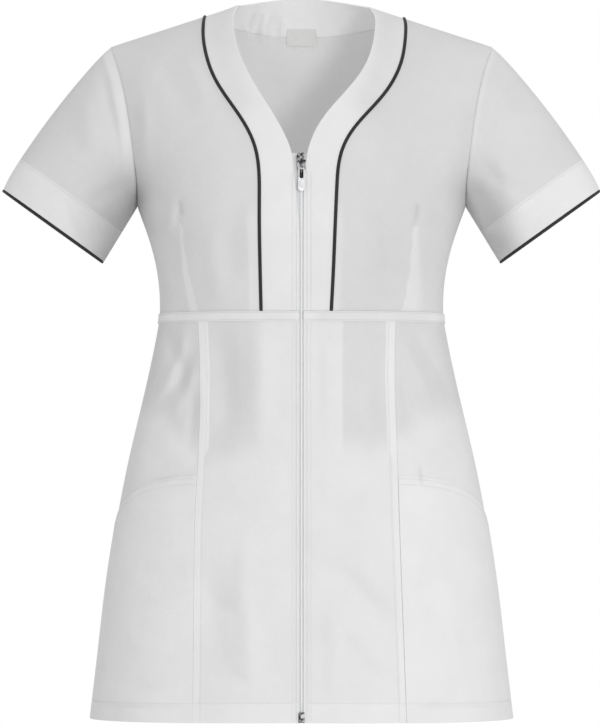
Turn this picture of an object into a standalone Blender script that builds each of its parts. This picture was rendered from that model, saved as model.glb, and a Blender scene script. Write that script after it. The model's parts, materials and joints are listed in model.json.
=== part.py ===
"""White work tunic with short sleeves, a shaped neck band with black piping and a front zip.

The cloth keeps the hollow form that it has when it is worn. Tables give sizes in millimetres
and MM turns them into metres. The front faces -Y, +Z is up, and the origin lies midway between
the two shoulder seams. Right and left are the wearer's, so the right side lies at -X.
"""

import math
from collections import namedtuple

import bmesh
import bpy
import numpy as np
from mathutils import Matrix, Vector

MM = 0.001

# Cloth and trim
WALL = 1.2
SEAM_GAP = 0.3
STRIP_WALL = 1.0
FRONT_CORD_RADIUS = 1.6
SLEEVE_CORD_RADIUS = 1.3
CORD_SINK = 0.2

# Heights on the body
SHOULDER_TIP_Z = -13.0
UNDERARM_Z = -181.0
WAIST_Z = -293.0
WAIST_STRIP_Z = -303.5
HEM_Z = -717.0
HEM_RISE_AT_FRONT = 2.5
BACK_NECK_Z = 3.8

# Shape of a level ring of the body and of the shoulder above it
ROUNDNESS = 2.3
SHOULDER_DEPTH = 75.0
NORMAL_STEP = 0.5
RIDGE_MARGIN = 0.02
LEAST_DROP = 1e-5
FRONT = -1
BACK = 1
SIDES = {"right": -1, "left": 1}

# Rows and columns of the cloth grids
BODICE_LOWER_ROWS = 6
BODICE_UPPER_ROWS = 17
BODICE_COLUMNS = 8
BACK_INNER_COLUMNS = 6
BACK_OUTER_COLUMNS = 6
BAND_COLUMNS = 3
SKIRT_UPPER_ROWS = 6
SKIRT_LOWER_ROWS = 10
CENTRE_COLUMNS = 5
SIDE_COLUMNS = 8
BACK_SKIRT_COLUMNS = 10
FACING_ROWS = 3

# Body seen as level rings: half width from the front view, depth of the front and of the back
Ring = namedtuple("Ring", "height half_width front back")
BODY = [Ring(*row) for row in (
    (-722.0, 221.5, 152.0, 160.0),
    (-656.0, 213.7, 146.0, 156.0),
    (-568.0, 203.3, 138.0, 151.0),
    (-500.0, 192.3, 131.0, 145.0),
    (-442.0, 180.8, 124.0, 135.0),
    (-392.0, 168.7, 117.0, 121.0),
    (-341.0, 157.0, 110.0, 105.0),
    (-293.0, 148.7, 105.0, 94.0),
    (-260.0, 149.8, 109.0, 97.5),
    (-230.0, 155.4, 114.0, 103.0),
    (-205.0, 163.2, 118.0, 108.0),
    (-181.0, 172.3, 118.0, 111.0),
    (-165.0, 176.5, 116.0, 112.0),
    (-140.0, 184.0, 112.0, 112.0),
    (-100.0, 195.0, 103.0, 107.0),
    (-60.0, 204.0, 88.0, 95.0),
    (-20.0, 213.0, 71.0, 80.0),
    (20.0, 219.0, 55.0, 70.0),
    (60.0, 222.0, 38.0, 62.0),
)]

# Top line of the shoulder, seen from the front, out from the middle of the neck
Ridge = namedtuple("Ridge", "out height")
RIDGE = [Ridge(*row) for row in (
    (-30.0, 62.0),
    (0.0, 76.0),
    (30.0, 62.0),
    (50.0, 45.5),
    (67.0, 31.5),
    (84.0, 25.0),
    (101.5, 19.3),
    (150.0, 3.5),
    (200.5, -13.0),
    (240.0, -28.0),
)]

# Neck band: where its outer seam and its free edge lie, row by row from the waist to the shoulder
Band = namedtuple("Band", "seam_height seam_right seam_left edge_height edge_right edge_left")
NECK_BAND = [Band(*row) for row in (
    (-293.0, 41.6, 30.6, -293.0, 2.0, 2.0),
    (-250.0, 42.6, 32.8, -250.0, 2.0, 2.0),
    (-208.0, 43.3, 34.4, -208.0, 2.2, 2.0),
    (-180.0, 43.3, 35.6, -178.0, 5.0, 2.2),
    (-165.0, 43.1, 36.2, -162.0, 6.8, 2.6),
    (-143.0, 44.0, 37.6, -143.0, 8.3, 3.8),
    (-128.0, 46.3, 40.8, -129.0, 9.6, 5.8),
    (-115.0, 50.5, 46.2, -113.5, 16.2, 10.6),
    (-100.0, 58.5, 57.0, -96.5, 24.5, 19.2),
    (-84.0, 68.8, 71.8, -77.0, 37.0, 35.0),
    (-68.0, 80.5, 86.0, -57.5, 49.0, 53.0),
    (-50.0, 91.0, 97.0, -38.0, 59.0, 66.0),
    (-30.0, 98.0, 104.5, -18.0, 66.0, 73.0),
    (-8.0, 102.3, 108.0, 2.0, 70.5, 76.5),
    (10.0, 102.6, 109.0, 18.0, 71.0, 77.0),
    (19.5, 101.5, 107.5, 31.0, 67.0, 71.0),
)]

Step = namedtuple("Step", "step seam height out")
BAND_READINGS = 600

# Armhole edge of the front and of the back, up from the underarm to the shoulder tip
Armhole = namedtuple("Armhole", "height front back")
ARMHOLE = [Armhole(*row) for row in (
    (-181.0, 172.3, 172.3),
    (-166.0, 171.8, 173.2),
    (-144.0, 173.2, 176.8),
    (-124.0, 175.6, 181.0),
    (-95.0, 179.3, 185.5),
    (-68.0, 184.0, 190.0),
    (-44.0, 189.6, 194.0),
    (-22.0, 197.0, 198.4),
    (-13.0, 200.5, 200.5),
)]

# Line of the back dart, from the waist up to the corner of the neck
Guide = namedtuple("Guide", "height right left")
BACK_GUIDE = [Guide(*row) for row in (
    (-293.0, 84.0, 84.0),
    (-181.0, 92.0, 92.0),
    (-90.0, 99.0, 101.0),
    (19.5, 101.5, 107.5),
)]

# Long seam of the front skirt
Princess = namedtuple("Princess", "height right left")
PRINCESS = [Princess(*row) for row in (
    (-293.0, 107.4, 97.6),
    (-359.0, 104.6, 96.0),
    (-426.0, 105.4, 98.0),
    (-510.0, 109.6, 100.2),
    (-592.0, 110.3, 103.0),
    (-722.0, 111.2, 107.6),
)]

# Slanted pocket mouth, from the long seam down to the side seam
MOUTH_TOP_Z = -463.0
MOUTH_DROP = 51.0
MOUTH_CURVE = 2.1

# Soft swell over the bust, and soft flutes that widen towards the hem
Swell = namedtuple("Swell", "out height rise width tall")
BUST = Swell(98.0, -172.0, 9.0, 56.0, 62.0)
Flute = namedtuple("Flute", "face hem_x start_height rise width")
FLUTES = [Flute(*row) for row in (
    (FRONT, -168.0, -420.0, 4.5, 26.0),
    (FRONT, -62.0, -470.0, 3.5, 24.0),
    (FRONT, 52.0, -450.0, 3.5, 26.0),
    (FRONT, 158.0, -400.0, 4.5, 28.0),
    (BACK, -150.0, -430.0, 6.0, 30.0),
    (BACK, -48.0, -400.0, -5.0, 32.0),
    (BACK, 40.0, -450.0, 5.5, 30.0),
    (BACK, 138.0, -410.0, 6.0, 32.0),
)]
FLUTE_LEAN = 0.72
FLUTE_GROWTH = 1.4
SIDE_CALM = 8

# Sleeve
SLEEVE_HEM_OUT = 260.0
SLEEVE_HEM_Z = -200.0
SLEEVE_HEM_LONG = 65.2
SLEEVE_HEM_SHORT = 39.0
SLEEVE_HEM_SLOPE = math.radians(35.6)
SLEEVE_FULLNESS = 6.8
SLEEVE_FRONT_FULLNESS = 5.0
FULLNESS_CURVE = 0.6
SLEEVE_ROWS = (0.0, 0.07, 0.2, 0.4, 0.6, 0.8, 1.0)
FACING_DEPTH = 37.0
MITRE_LIMIT = 1.6
MITRE_LEAST = 0.05

# Back neck band and label
BACK_RIM_Z = 44.0
RIM_CURVE = 1.7
NECKLINE_CURVE = 2.2
LABEL_HALF_WIDTH = 17.0
LABEL_ABOVE = 9.5
LABEL_BELOW = 8.5
LABEL_WALL = 1.0
LABEL_STAND = 0.9

# Zip
ZIP_HALF_OPENING = 2.0
TAPE_INNER = 0.2
TAPE_SPREAD = 3.6
TAPE_WIDTH = 13.0
TAPE_WALL = 1.0
TAPE_TOP_Z = -131.0
LEAST_TAPE_ROW = 2.0
METAL_REACH = 8.0
SLIDER_Z = -140.1
SLIDER_SPREAD_Z = -149.1
BOX_HEIGHT = 10.6
BOX_ABOVE_HEM = 0.3

# Zip metal: outlines give places across and up along the zip, from the part's own middle
PLATE_TOP = 1.7
PLATE_WALL = 1.2
PLATE_SINK = 0.6
PLATE_BEVEL = 0.25
CORE_TOP = 1.0
SHIELD = ((-5.0, 5.6), (-3.4, 9.4), (3.4, 9.4), (5.0, 5.6), (4.2, -8.2), (3.2, -9.6), (-3.2, -9.6),
          (-4.2, -8.2))
POST = ((-1.3, 3.0), (-1.3, 8.6), (1.3, 8.6), (1.3, 3.0))
BRIDGE_HALF_WIDTH = 1.3
BRIDGE = ((5.2, 1.2), (5.2, 2.6), (2.6, 4.9), (-7.6, 5.3), (-9.5, 4.4), (-9.5, 1.2), (-8.7, 1.2),
          (-8.7, 3.9), (-7.4, 4.2), (2.3, 3.9), (4.0, 2.4), (4.0, 1.2))
TAB_AXIS_UP = -7.4
TAB_AXIS_OUT = 2.95
TAB_HALF_WALL = 0.55
TAB_BEVEL = 0.2
TAB_OUTLINE = ((-1.6, 0.7), (-3.2, -0.9), (-3.0, -10.0), (-3.4, -13.0), (-3.4, -22.4), (-1.6, -24.2),
               (1.6, -24.2), (3.4, -22.4), (3.4, -13.0), (3.0, -10.0), (3.2, -0.9), (1.6, 0.7))
TAB_WINDOW = ((-1.7, -0.7), (-2.0, -2.0), (-2.0, -6.0), (-2.0, -9.6), (-1.6, -10.6), (-0.7, -11.1),
              (0.7, -11.1), (1.6, -10.6), (2.0, -9.6), (2.0, -6.0), (2.0, -2.0), (1.7, -0.7))
BOX_HALF_WIDTH = 3.1
WEB_HALF_WIDTH = 1.6
WEB_INSET = 0.5
SHARP_CORNER = math.radians(50.0)
SMOOTH_ANGLE = math.radians(40.0)

# Finishes: colour, roughness and metallic value
Finish = namedtuple("Finish", "colour roughness metallic")
FINISHES = {
    "white cloth": Finish((0.84, 0.85, 0.86), 0.85, 0.0),
    "black piping": Finish((0.012, 0.012, 0.014), 0.6, 0.0),
    "label tape": Finish((0.88, 0.88, 0.87), 0.5, 0.0),
    "zip tape": Finish((0.82, 0.83, 0.84), 0.7, 0.0),
    "nickel": Finish((0.62, 0.62, 0.63), 0.28, 1.0),
}

Sheet = namedtuple("Sheet", "points normals")


def clear_scene():
    for thing in list(bpy.data.objects):
        bpy.data.objects.remove(thing)


def material(name):
    """The named finish as a Principled material, made once."""
    found = bpy.data.materials.get(name)
    if found:
        return found
    finish = FINISHES[name]
    made = bpy.data.materials.new(name)
    made.use_nodes = True
    shader = made.node_tree.nodes["Principled BSDF"]
    shader.inputs["Base Color"].default_value = (*finish.colour, 1.0)
    shader.inputs["Roughness"].default_value = finish.roughness
    shader.inputs["Metallic"].default_value = finish.metallic
    return made


# Curves read from the tables

def column(table, name, at):
    """Smooth curve through one column of a table, read against its first column."""
    ordered = sorted(table, key=lambda row: row[0])
    keys = np.array([row[0] for row in ordered])
    values = np.array([getattr(row, name) for row in ordered])
    slopes = np.gradient(values, keys)
    at = np.clip(np.asarray(at, dtype=float), keys[0], keys[-1])
    low = np.clip(np.searchsorted(keys, at, side="right") - 1, 0, len(keys) - 2)
    span = keys[low + 1] - keys[low]
    part = (at - keys[low]) / span
    rise = part * part * (3.0 - 2.0 * part)
    lead = part * (1.0 - part) ** 2 * span * slopes[low]
    tail = part * part * (1.0 - part) * span * slopes[low + 1]
    return values[low] * (1.0 - rise) + values[low + 1] * rise + lead - tail


def blend(start, end, part):
    return start + (end - start) * part


def unit(vectors):
    length = np.linalg.norm(vectors, axis=-1, keepdims=True)
    return vectors / np.maximum(length, 1e-9)


# The body surface, as a front and a back that meet at the side seams and the shoulders

def ridge_height(x):
    return column(RIDGE, "height", np.abs(x))


def shoulder_drop(x, z):
    """Share of the shoulder's depth that lies above a point, from 0 on the ridge to 1."""
    return np.clip((ridge_height(x) - z) / SHOULDER_DEPTH, 0.0, 1.0)


def side_share(x, z):
    return np.minimum(np.abs(x) / column(BODY, "half_width", z), 1.0)


def depth(face, z):
    return column(BODY, "front" if face == FRONT else "back", z)


def swell(face, x, z):
    """How far the bust and the flutes stand out of the plain rings."""
    away = 1.0 - side_share(x, z) ** SIDE_CALM
    if face == FRONT:
        across = (np.abs(x) - BUST.out) / BUST.width
        along = (z - BUST.height) / BUST.tall
        out = BUST.rise * np.exp(-across ** 2 - along ** 2)
    else:
        out = np.zeros_like(np.asarray(x, dtype=float) + z)
    for flute in FLUTES:
        if flute.face != face:
            continue
        run = np.clip((flute.start_height - z) / (flute.start_height - HEM_Z), 0.0, 1.0)
        middle = flute.hem_x * blend(FLUTE_LEAN, 1.0, run)
        across = (x - middle) / flute.width
        out = out + flute.rise * run ** FLUTE_GROWTH * np.exp(-across ** 2)
    return out * away


def body_point(face, x, z):
    """Point on the cloth's outer face, in front or at the back, seen at x and z."""
    around = (1.0 - side_share(x, z) ** ROUNDNESS) ** (1.0 / ROUNDNESS)
    over = np.sqrt(1.0 - (1.0 - shoulder_drop(x, z)) ** 2)
    y = face * (depth(face, z) * around * over + swell(face, x, z) * over)
    return np.stack(np.broadcast_arrays(x, y, z), axis=-1)


def body_normal(face, x, z):
    """Outward direction of the plain body there, the same on both sides of every seam."""
    step = NORMAL_STEP
    x = np.asarray(x, dtype=float)
    z = np.minimum(z, ridge_height(x) - RIDGE_MARGIN)
    share = side_share(x, z)
    reach = (1.0 - share ** ROUNDNESS) ** (1.0 / ROUNDNESS)

    def size(px, pz):
        drop = np.maximum(shoulder_drop(px, pz), LEAST_DROP)
        return depth(face, pz) * np.sqrt(1.0 - (1.0 - drop) ** 2)

    here = size(x, z)
    across = (size(x + step, z) - size(x - step, z)) / (2.0 * step)
    top = np.minimum(z + step, ridge_height(x) - RIDGE_MARGIN / 2.0)
    upward = (size(x, top) - size(x, z - step)) / (top - z + step)
    half = column(BODY, "half_width", z)
    widen = (column(BODY, "half_width", z + step) - column(BODY, "half_width", z - step)) / (2.0 * step)
    inner = reach ** ROUNDNESS
    outer = share ** ROUNDNESS
    normal_x = np.sign(x) * share ** (ROUNDNESS - 1.0) / half - inner * across / here
    normal_y = face * reach ** (ROUNDNESS - 1.0) / here
    normal_z = -inner * upward / here - outer * widen / half
    return unit(np.stack(np.broadcast_arrays(normal_x, normal_y, normal_z), axis=-1))


def body_sheet(face, x, z):
    return Sheet(body_point(face, x, z), body_normal(face, x, z))


def around_body(inner_x, outer_x, part, z):
    """Place between two lines at one height, in even steps of the turn around the ring."""
    half = column(BODY, "half_width", z)
    power = ROUNDNESS / 2.0
    first = np.arcsin(np.minimum(np.abs(inner_x) / half, 1.0) ** power)
    last = np.arcsin(np.minimum(np.abs(outer_x) / half, 1.0) ** power)
    return half * np.sin(blend(first, last, part)) ** (1.0 / power)


# Rows that neighbouring pieces share

def armhole_rows():
    """Share of the way up the armhole for each upper row, closer together at both ends."""
    turn = np.linspace(0.0, math.pi, BODICE_UPPER_ROWS + 1)
    return (1.0 - np.cos(turn)) / 2.0


def inner_rows():
    """The same for the lines nearer the middle, closer together at the shoulder alone."""
    return np.sin(np.linspace(0.0, math.pi / 2.0, BODICE_UPPER_ROWS + 1))


def rising(end, upper):
    """Heights of the bodice rows along a line, from the waist past the underarm to its end."""
    lower = np.linspace(WAIST_Z, UNDERARM_Z, BODICE_LOWER_ROWS + 1)
    return np.concatenate([lower[:-1], blend(UNDERARM_Z, end, upper)])


def band_line(side_name, prefix, heights):
    """Band seam or band edge at the rows where the seam has the heights given."""
    table = [Step(step, row.seam_height, getattr(row, prefix + "_height"),
                  getattr(row, prefix + "_" + side_name)) for step, row in enumerate(NECK_BAND)]
    last = float(len(table) - 1)
    dense = np.linspace(0.0, last, BAND_READINGS)
    at = np.interp(heights, column(table, "seam", dense), dense)
    at = np.where(heights >= table[-1].seam, last, at)
    return column(table, "out", at), column(table, "height", at)


def seam_heights():
    return rising(NECK_BAND[-1].seam_height, inner_rows())


def side_line(face, heights):
    """Side seam below the underarm and the armhole edge above it."""
    below = column(BODY, "half_width", heights)
    above = column(ARMHOLE, "front" if face == FRONT else "back", heights)
    return np.where(heights > UNDERARM_Z, above, below)


def meet_ridge(x, z, rows):
    """Heights eased so that the last row lies exactly on the shoulder line."""
    gap = ridge_height(x[-1]) - z[-1]
    eased = z + gap[None, :] * (rows[:, None] ** 3)
    return np.minimum(eased, ridge_height(x))


def row_share():
    count = BODICE_LOWER_ROWS + BODICE_UPPER_ROWS
    return np.arange(count + 1) / count


# Turning sheets into solids

def drawn_in(sheet, low=SEAM_GAP / 2, high=SEAM_GAP / 2, first=SEAM_GAP / 2, last=SEAM_GAP / 2):
    """The sheet with each edge drawn back by half a seam gap, or by the amount given."""
    points = sheet.points.copy()
    points[0] += unit(sheet.points[1] - sheet.points[0]) * low
    points[-1] += unit(sheet.points[-2] - sheet.points[-1]) * high
    points[:, 0] += unit(sheet.points[:, 1] - sheet.points[:, 0]) * first
    points[:, -1] += unit(sheet.points[:, -2] - sheet.points[:, -1]) * last
    return Sheet(points, sheet.normals)


def part_of(sheet, rows=slice(None), columns=slice(None)):
    return Sheet(sheet.points[rows, columns], sheet.normals[rows, columns])


def beside(*sheets):
    """Sheets that share an edge column, as one."""
    points = [sheets[0].points] + [sheet.points[:, 1:] for sheet in sheets[1:]]
    normals = [sheets[0].normals] + [sheet.normals[:, 1:] for sheet in sheets[1:]]
    return Sheet(np.concatenate(points, axis=1), np.concatenate(normals, axis=1))


def mirrored(sheet):
    """The sheet on the other side of the body, with its columns in reverse."""
    flip = np.array([-1.0, 1.0, 1.0])
    return Sheet(sheet.points[:, ::-1] * flip, sheet.normals[:, ::-1] * flip)


def new_object(name, mesh, finish):
    mesh.materials.append(material(finish))
    mesh.shade_smooth()
    mesh.set_sharp_from_angle(angle=SMOOTH_ANGLE)
    made = bpy.data.objects.new(name, mesh)
    bpy.context.collection.objects.link(made)
    return made


def wall(name, sheet, top, bottom, finish, tube=False):
    """Solid wall between two distances from a sheet, closed at its edges."""
    rows, columns = sheet.points.shape[:2]
    outer = (sheet.points + sheet.normals * top).reshape(-1, 3)
    inner = (sheet.points + sheet.normals * bottom).reshape(-1, 3)
    steps = columns if tube else columns - 1
    behind = rows * columns

    def at(row, step, layer):
        return layer * behind + row * columns + step % columns

    faces = []
    for row in range(rows - 1):
        for step in range(steps):
            for layer in (0, 1):
                faces.append((at(row, step, layer), at(row, step + 1, layer),
                              at(row + 1, step + 1, layer), at(row + 1, step, layer)))
    for row in (0, rows - 1):
        for step in range(steps):
            faces.append((at(row, step, 0), at(row, step + 1, 0),
                          at(row, step + 1, 1), at(row, step, 1)))
    if not tube:
        for step in (0, columns - 1):
            for row in range(rows - 1):
                faces.append((at(row, step, 0), at(row + 1, step, 0),
                              at(row + 1, step, 1), at(row, step, 1)))
    mesh = bpy.data.meshes.new(name)
    mesh.from_pydata([Vector(point) * MM for point in np.concatenate([outer, inner])], [], faces)
    shape = bmesh.new()
    shape.from_mesh(mesh)
    bmesh.ops.recalc_face_normals(shape, faces=shape.faces)
    shape.to_mesh(mesh)
    shape.free()
    return new_object(name, mesh, finish)


def cord(name, points, radius, finish, closed=False):
    """Round cord along a line of points."""
    curve = bpy.data.curves.new(name, "CURVE")
    curve.dimensions = "3D"
    curve.bevel_depth = radius * MM
    curve.bevel_resolution = 2
    curve.use_fill_caps = not closed
    spline = curve.splines.new("POLY")
    spline.points.add(len(points) - 1)
    for knot, point in zip(spline.points, points):
        knot.co = (*(Vector(point) * MM), 1.0)
    spline.use_cyclic_u = closed
    spline.use_smooth = True
    curve.materials.append(material(finish))
    made = bpy.data.objects.new(name, curve)
    bpy.context.collection.objects.link(made)
    return made


# Bodice

def front_bodice_sheet(side_name):
    side = SIDES[side_name]
    heights = seam_heights()
    seam_x, seam_z = band_line(side_name, "seam", heights)
    edge_z = rising(SHOULDER_TIP_Z, armhole_rows())
    edge_x = side_line(FRONT, edge_z)
    part = np.linspace(0.0, 1.0, BODICE_COLUMNS + 1)[None, :]
    z = blend(seam_z[:, None], edge_z[:, None], part)
    x = around_body(seam_x[:, None], edge_x[:, None], part, z)
    z = meet_ridge(x, z, row_share())
    return body_sheet(FRONT, side * x, z)


def neck_steps():
    """Columns across the back neck, closer together where the neckline turns forward."""
    return np.sin(np.linspace(0.0, math.pi / 2.0, BACK_INNER_COLUMNS + 1))


def neck_corner(side_name):
    """Where the back neckline meets the shoulder seam."""
    out = getattr(BACK_GUIDE[-1], side_name)
    return out, float(ridge_height(out))


def back_bodice_half(side_name):
    """Half of the back, drawn on the left: the middle back to the dart line, then to the side."""
    guide_z = rising(neck_corner(side_name)[1], inner_rows())
    guide_x = column(BACK_GUIDE, side_name, guide_z)
    edge_z = rising(SHOULDER_TIP_Z, armhole_rows())
    edge_x = side_line(BACK, edge_z)
    middle_z = rising(BACK_NECK_Z, inner_rows())
    across = neck_steps()[None, :]
    inner_x = guide_x[:, None] * across
    inner_z = blend(middle_z[:, None], guide_z[:, None], across ** NECKLINE_CURVE)
    part = np.linspace(0.0, 1.0, BACK_OUTER_COLUMNS + 1)[None, :]
    outer_z = blend(guide_z[:, None], edge_z[:, None], part)
    outer_x = around_body(guide_x[:, None], edge_x[:, None], part, outer_z)
    outer_z = meet_ridge(outer_x, outer_z, row_share())
    return beside(body_sheet(BACK, inner_x, inner_z), body_sheet(BACK, outer_x, outer_z))


def front_band_sheet(side_name):
    """Columns run from the free edge out to the piped seam."""
    side = SIDES[side_name]
    heights = seam_heights()
    seam_x, seam_z = band_line(side_name, "seam", heights)
    edge_x, edge_z = band_line(side_name, "edge", heights)
    part = np.linspace(0.0, 1.0, BAND_COLUMNS + 1)[None, :]
    x = blend(edge_x[:, None], seam_x[:, None], part)
    z = blend(edge_z[:, None], seam_z[:, None], part)
    z = meet_ridge(x, z, row_share())
    return body_sheet(FRONT, side * x, z)


def back_band_half(side_name):
    """Half of the back band, drawn on the left, with rows from the neckline up to the rim."""
    corner_out, corner_z = neck_corner(side_name)
    rim_out = getattr(NECK_BAND[-1], "edge_" + side_name)
    rim_z = float(ridge_height(rim_out))
    steps = neck_steps()[None, :]
    part = np.linspace(0.0, 1.0, BAND_COLUMNS + 1)[:, None]
    seam_line = blend(BACK_NECK_Z, corner_z, steps ** NECKLINE_CURVE)
    rim_line = blend(BACK_RIM_Z, rim_z, steps ** RIM_CURVE)
    x = steps * blend(corner_out, rim_out, part)
    z = np.minimum(blend(seam_line, rim_line, part), ridge_height(x))
    z[:, -1] = ridge_height(x[:, -1])
    return body_sheet(BACK, x, z)


def both_halves(half_sheet):
    return beside(mirrored(half_sheet("right")), half_sheet("left"))


def build_neck():
    cord_room = FRONT_CORD_RADIUS + SEAM_GAP
    for side_name in SIDES:
        band = front_band_sheet(side_name)
        wall("neck_band_front_" + side_name, drawn_in(band, first=0.0, last=cord_room),
             0.0, -WALL, "white cloth")
        seam = part_of(band, columns=slice(-1, None))
        line = (seam.points + seam.normals * -CORD_SINK)[:, 0]
        line[0] += unit(line[1] - line[0]) * SEAM_GAP / 2
        line[-1] += unit(line[-2] - line[-1]) * SEAM_GAP / 2
        cord("piping_front_" + side_name, line, FRONT_CORD_RADIUS, "black piping")
    band = both_halves(back_band_half)
    wall("neck_band_back", drawn_in(band, high=0.0), 0.0, -WALL, "white cloth")


def build_label(back, band):
    """Bare label on the inside of the back neck, across the seam of the band."""
    middle = back.points.shape[1] // 2
    band_middle = band.points.shape[1] // 2
    share = LABEL_HALF_WIDTH / back.points[-1, middle + 1, 0]

    def across(sheet, centre, row, part):
        rows = []
        for values in (sheet.points, sheet.normals):
            line = blend(values[row], values[row + 1], part)
            left = blend(line[centre], line[centre + 1], share)
            right = blend(line[centre], line[centre - 1], share)
            rows.append(np.stack([right, line[centre], left]))
        return rows

    rise = band.points[1, band_middle, 2] - band.points[0, band_middle, 2]
    lines = [across(band, band_middle, 0, part / rise) for part in (LABEL_ABOVE, 0.0)]
    heights = back.points[:, middle, 2]
    low = int(np.searchsorted(heights, BACK_NECK_Z - LABEL_BELOW)) - 1
    part = (BACK_NECK_Z - LABEL_BELOW - heights[low]) / (heights[low + 1] - heights[low])
    for row in range(len(heights) - 2, low, -1):
        lines.append(across(back, middle, row, 0.0))
    lines.append(across(back, middle, low, part))
    sheet = Sheet(np.stack([line[0] for line in lines]), unit(np.stack([line[1] for line in lines])))
    inside = -WALL - LABEL_STAND
    wall("neck_label", sheet, inside, inside - LABEL_WALL, "label tape")


# Sleeves

def armhole_loop(front, back):
    """Armhole points from the underarm over the front to the shoulder and down the back."""
    front = part_of(front, slice(BODICE_LOWER_ROWS, None), slice(-1, None))
    back = part_of(back, slice(BODICE_LOWER_ROWS, None), slice(-1, None))
    points = np.concatenate([front.points[:, 0], back.points[-2:0:-1, 0]])
    normals = np.concatenate([front.normals[:, 0], back.normals[-2:0:-1, 0]])
    return points, normals


def loop_turns(points):
    """Turn of each armhole point around the sleeve, 0 on top and 180 degrees at the underarm."""
    top = BODICE_UPPER_ROWS
    length = np.linalg.norm(np.diff(np.vstack([points, points[:1]]), axis=0), axis=1)
    front = np.concatenate([[0.0], np.cumsum(length[:top])])
    back = np.concatenate([[0.0], np.cumsum(length[top:])])
    front_turn = math.pi * (1.0 - front / front[-1])
    back_turn = -math.pi * back / back[-1]
    return np.concatenate([front_turn, back_turn[1:-1]])


def sleeve_frame(side):
    """Middle of the sleeve hem, its long direction and the way that the sleeve points."""
    centre = np.array([side * SLEEVE_HEM_OUT, 0.0, SLEEVE_HEM_Z])
    slope = SLEEVE_HEM_SLOPE
    long_way = np.array([side * math.cos(slope), 0.0, math.sin(slope)])
    out_way = np.array([side * math.sin(slope), 0.0, -math.cos(slope)])
    return centre, long_way, out_way


def sleeve_sheet(side, loop):
    turns = loop_turns(loop)
    centre, long_way, out_way = sleeve_frame(side)
    cosine = np.cos(turns)[:, None]
    sine = np.sin(turns)[:, None]
    hem = centre + SLEEVE_HEM_LONG * cosine * long_way
    hem = hem + SLEEVE_HEM_SHORT * sine * np.array([0.0, -1.0, 0.0])
    run = np.linalg.norm(hem - loop, axis=1)
    facing_at = 1.0 - FACING_DEPTH / run
    shares = [facing_at * row for row in SLEEVE_ROWS]
    for row in range(1, FACING_ROWS + 1):
        shares.append(blend(facing_at, 1.0, row / FACING_ROWS))
    rows = []
    for share in shares:
        share = share[:, None]
        full = np.sin(math.pi * share) ** FULLNESS_CURVE
        top = SLEEVE_FULLNESS * (0.5 + 0.5 * cosine) * full
        front = SLEEVE_FRONT_FULLNESS * sine * full
        straight = blend(loop, hem, share)
        rows.append(straight + top * long_way + front * np.array([0.0, -1.0, 0.0]))
    points = np.stack(rows)
    around = np.roll(points, -1, axis=1) - np.roll(points, 1, axis=1)
    along = np.gradient(points, axis=0)
    normals = unit(np.cross(around, along))
    axis = points.mean(axis=1, keepdims=True)
    outward = np.sum(normals * (points - axis), axis=-1, keepdims=True)
    facing_out = 1.0 if outward.mean() > 0.0 else -1.0
    return Sheet(points, normals * facing_out), out_way


def mitred(normals, others):
    """Shared direction of two walls that meet at a seam, lengthened as a mitre needs."""
    likeness = np.sum(normals * others, axis=-1, keepdims=True)
    meeting = (normals + others) / np.maximum(1.0 + likeness, MITRE_LEAST)
    length = np.linalg.norm(meeting, axis=-1, keepdims=True)
    return meeting * np.minimum(1.0, MITRE_LIMIT / length)


def build_sleeve(side_name, meeting, sheet, out_way):
    sheet.normals[0] = meeting
    eased = sheet.points.copy()
    eased[0] += unit(sheet.points[1] - sheet.points[0]) * SEAM_GAP / 2
    body = Sheet(eased, sheet.normals)
    wall("sleeve_" + side_name, body, 0.0, -WALL, "white cloth", tube=True)
    facing = part_of(sheet, rows=slice(-FACING_ROWS - 1, None))
    inside = -WALL - SEAM_GAP
    wall("sleeve_facing_" + side_name, facing, inside, inside - STRIP_WALL, "white cloth", tube=True)
    hem = part_of(sheet, rows=slice(-1, None))
    layers = WALL + SEAM_GAP + STRIP_WALL
    line = hem.points[0] - hem.normals[0] * layers / 2
    line = line + out_way * (SLEEVE_CORD_RADIUS + SEAM_GAP)
    cord("piping_sleeve_" + side_name, line, SLEEVE_CORD_RADIUS, "black piping", closed=True)


def build_bodice():
    """Front and back bodice with the sleeves that share their armholes."""
    cord_room = FRONT_CORD_RADIUS + SEAM_GAP
    back = both_halves(back_bodice_half)
    upper = slice(BODICE_LOWER_ROWS, None)
    for side_name, side in SIDES.items():
        front = front_bodice_sheet(side_name)
        from_middle = part_of(back, columns=slice(None, None, side))
        loop, normals = armhole_loop(front, from_middle)
        sheet, out_way = sleeve_sheet(side, loop)
        meeting = mitred(normals, sheet.normals[0])
        top = BODICE_UPPER_ROWS
        front.normals[upper, -1] = meeting[:top + 1]
        down_back = np.concatenate([meeting[:1], meeting[:top - 1:-1]])
        edge = -1 if side > 0 else 0
        back.normals[upper, edge] = down_back
        build_sleeve(side_name, meeting, sheet, out_way)
        wall("bodice_front_" + side_name, drawn_in(front, first=cord_room), 0.0, -WALL, "white cloth")
    wall("bodice_back", drawn_in(back), 0.0, -WALL, "white cloth")
    build_label(back, both_halves(back_band_half))


# Skirt

def hem_height(face, x):
    if face == BACK:
        return np.full_like(np.asarray(x, dtype=float), HEM_Z)
    share = np.minimum(np.abs(x) / column(BODY, "half_width", HEM_Z), 1.0)
    return HEM_Z + HEM_RISE_AT_FRONT * (1.0 - share ** 2)


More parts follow.
